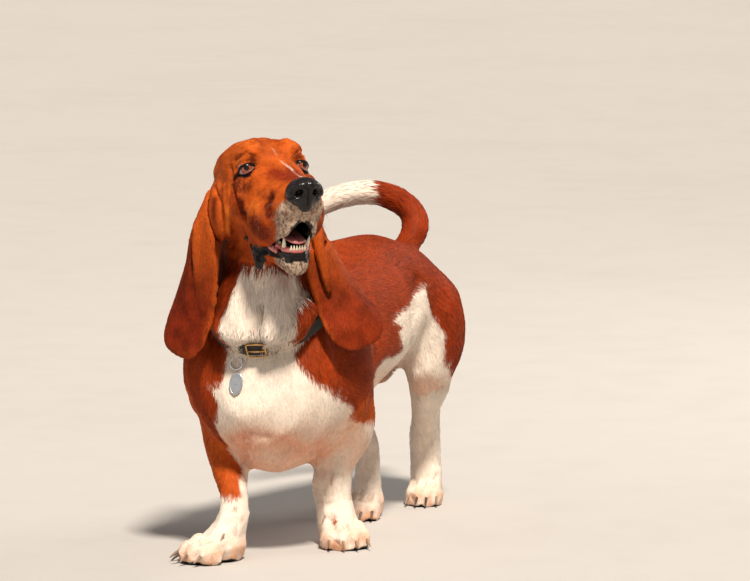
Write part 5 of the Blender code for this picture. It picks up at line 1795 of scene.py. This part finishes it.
# The soft lamps beside the sun: name, place, size, power in watts, colour; and where they point.
LAMPS = (
    ("fill", (-2.6, -2.6, 1.4), 2.4, 18.0, (0.92, 0.96, 1.0)),
    ("rim", (1.6, 2.4, 1.8), 1.2, 30.0, (1.0, 0.96, 0.90)),
)
LAMP_TARGET = Vector((0.02, 0.0, 0.28))
SUN_AZIMUTH, SUN_RISE, SUN_SIZE = 33, 55, math.radians(8)
SUN_COLOUR = (1.0, 0.92, 0.82)
WORLD_COLOUR, WORLD_STRENGTH = (0.93, 0.91, 0.88, 1), 0.27


def aimed(obj, way):
    """Turns a lamp or camera to look that way."""
    obj.rotation_euler = way.to_track_quat("-Z", "Y").to_euler()
    return obj


def build_floor():
    bm = bmesh.new()
    bmesh.ops.create_circle(bm, cap_ends=True, radius=FLOOR_RADIUS, segments=96)
    colour = settings("basset_studio").floor
    finish = material("studio_floor", colour, (0.7, 0.9), 40.0, 0.0004, 0.06, 1.5)
    object_from("studio_floor", bm, finish, smooth=False)


def build_lights():
    sun = bpy.data.lights.new("sun", "SUN")
    sun.energy = settings("basset_studio").key_power
    sun.angle = SUN_SIZE
    sun.color = SUN_COLOUR
    aimed(link("sun", sun), -heading(SUN_AZIMUTH, SUN_RISE))
    for name, place, size, power, colour in LAMPS:
        light = bpy.data.lights.new(name, "AREA")
        light.shape = "DISK"
        light.size = size
        light.energy = power
        light.color = colour
        lamp = aimed(link(name, light), LAMP_TARGET - Vector(place))
        lamp.location = place
        lamp.visible_camera = False
    world = bpy.data.worlds.new("studio")
    world.use_nodes = True
    back = world.node_tree.nodes["Background"]
    back.inputs["Color"].default_value = WORLD_COLOUR
    back.inputs["Strength"].default_value = WORLD_STRENGTH
    bpy.context.scene.world = world
    bpy.context.scene.view_settings.view_transform = "Standard"


def build_camera():
    data = bpy.data.cameras.new("camera")
    data.sensor_width = 36
    data.lens = CAMERA_LENS
    data.clip_start, data.clip_end = 0.05, 100
    back = heading(CAMERA_AZIMUTH, CAMERA_RISE)
    camera = aimed(link("camera", data), -back)
    camera.location = LOOK_AT + back * CAMERA_AWAY
    bpy.context.scene.camera = camera


def build_studio():
    build_floor()
    build_lights()
    build_camera()


class Piece:
    """An operator that runs its own build function."""

    build = None

    def execute(self, context):
        self.build()
        return {"FINISHED"}


class Studio(Piece, bpy.types.Operator):
    """Pale floor, soft lights and the camera"""

    bl_idname = "basset.studio"
    bl_label = "Studio"
    build = staticmethod(build_studio)


class SkinPiece(Piece, bpy.types.Operator):
    """The one skin with its folds, lids, lips and toes"""

    bl_idname = "basset.skin"
    bl_label = "Skin"
    build = staticmethod(build_skin)


class Eyes(Piece, bpy.types.Operator):
    """Eyeballs with iris, pupil and a wet surface, and the pink inner lids"""

    bl_idname = "basset.eyes"
    bl_label = "Eyes"
    build = staticmethod(build_eyes)


class Nose(Piece, bpy.types.Operator):
    """Nose leather with two nostrils, the groove below them and its pebbled surface"""

    bl_idname = "basset.nose"
    bl_label = "Nose"
    build = staticmethod(build_nose)


class Mouth(Piece, bpy.types.Operator):
    """Tongue, lower gum and the teeth of the lower jaw"""

    bl_idname = "basset.mouth"
    bl_label = "Mouth"
    build = staticmethod(build_mouth)


class Claws(Piece, bpy.types.Operator):
    """The claws, some black and some pale horn"""

    bl_idname = "basset.claws"
    bl_label = "Claws"
    build = staticmethod(build_claws)


class Whiskers(Piece, bpy.types.Operator):
    """Whiskers of the muzzle and chin"""

    bl_idname = "basset.whiskers"
    bl_label = "Whiskers"
    build = staticmethod(build_whiskers)


class Coat(Piece, bpy.types.Operator):
    """The coat: thin tufts that lie along the skin, in one piece for each part of the dog"""

    bl_idname = "basset.coat"
    bl_label = "Coat"
    build = staticmethod(build_coat)


class Collar(Piece, bpy.types.Operator):
    """The leather collar with its stitching, buckle frame, prong and keeper"""

    bl_idname = "basset.collar"
    bl_label = "Collar"
    build = staticmethod(build_collar)


class Tag(Piece, bpy.types.Operator):
    """The steel ring and the bare oval tag"""

    bl_idname = "basset.tag"
    bl_label = "Ring and tag"
    build = staticmethod(build_tag)


OPERATORS = (Studio, SkinPiece, Eyes, Nose, Mouth, Claws, Whiskers, Coat, Collar, Tag)


class BassetPanel(bpy.types.Panel):
    """Lists the settings and the pieces"""

    bl_idname = "VIEW3D_PT_basset"
    bl_label = "Basset"
    bl_space_type = "VIEW_3D"
    bl_region_type = "UI"
    bl_category = "Basset"

    def draw(self, context):
        for name, group in SETTINGS.items():
            box = self.layout.box()
            for field in group.__annotations__:
                box.prop(getattr(context.scene, name), field)
        for operator in OPERATORS:
            self.layout.operator(operator.bl_idname)


CLASSES = (*SETTINGS.values(), *OPERATORS, BassetPanel)


def register():
    for cls in CLASSES:
        bpy.utils.register_class(cls)
    for name, group in SETTINGS.items():
        setattr(bpy.types.Scene, name, PointerProperty(type=group))


def unregister():
    for name in SETTINGS:
        delattr(bpy.types.Scene, name)
    for cls in reversed(CLASSES):
        bpy.utils.unregister_class(cls)


def main():
    register()
    for operator in OPERATORS:
        family, name = operator.bl_idname.split(".")
        getattr(getattr(bpy.ops, family), name)()


if __name__ == "__main__":
    main()
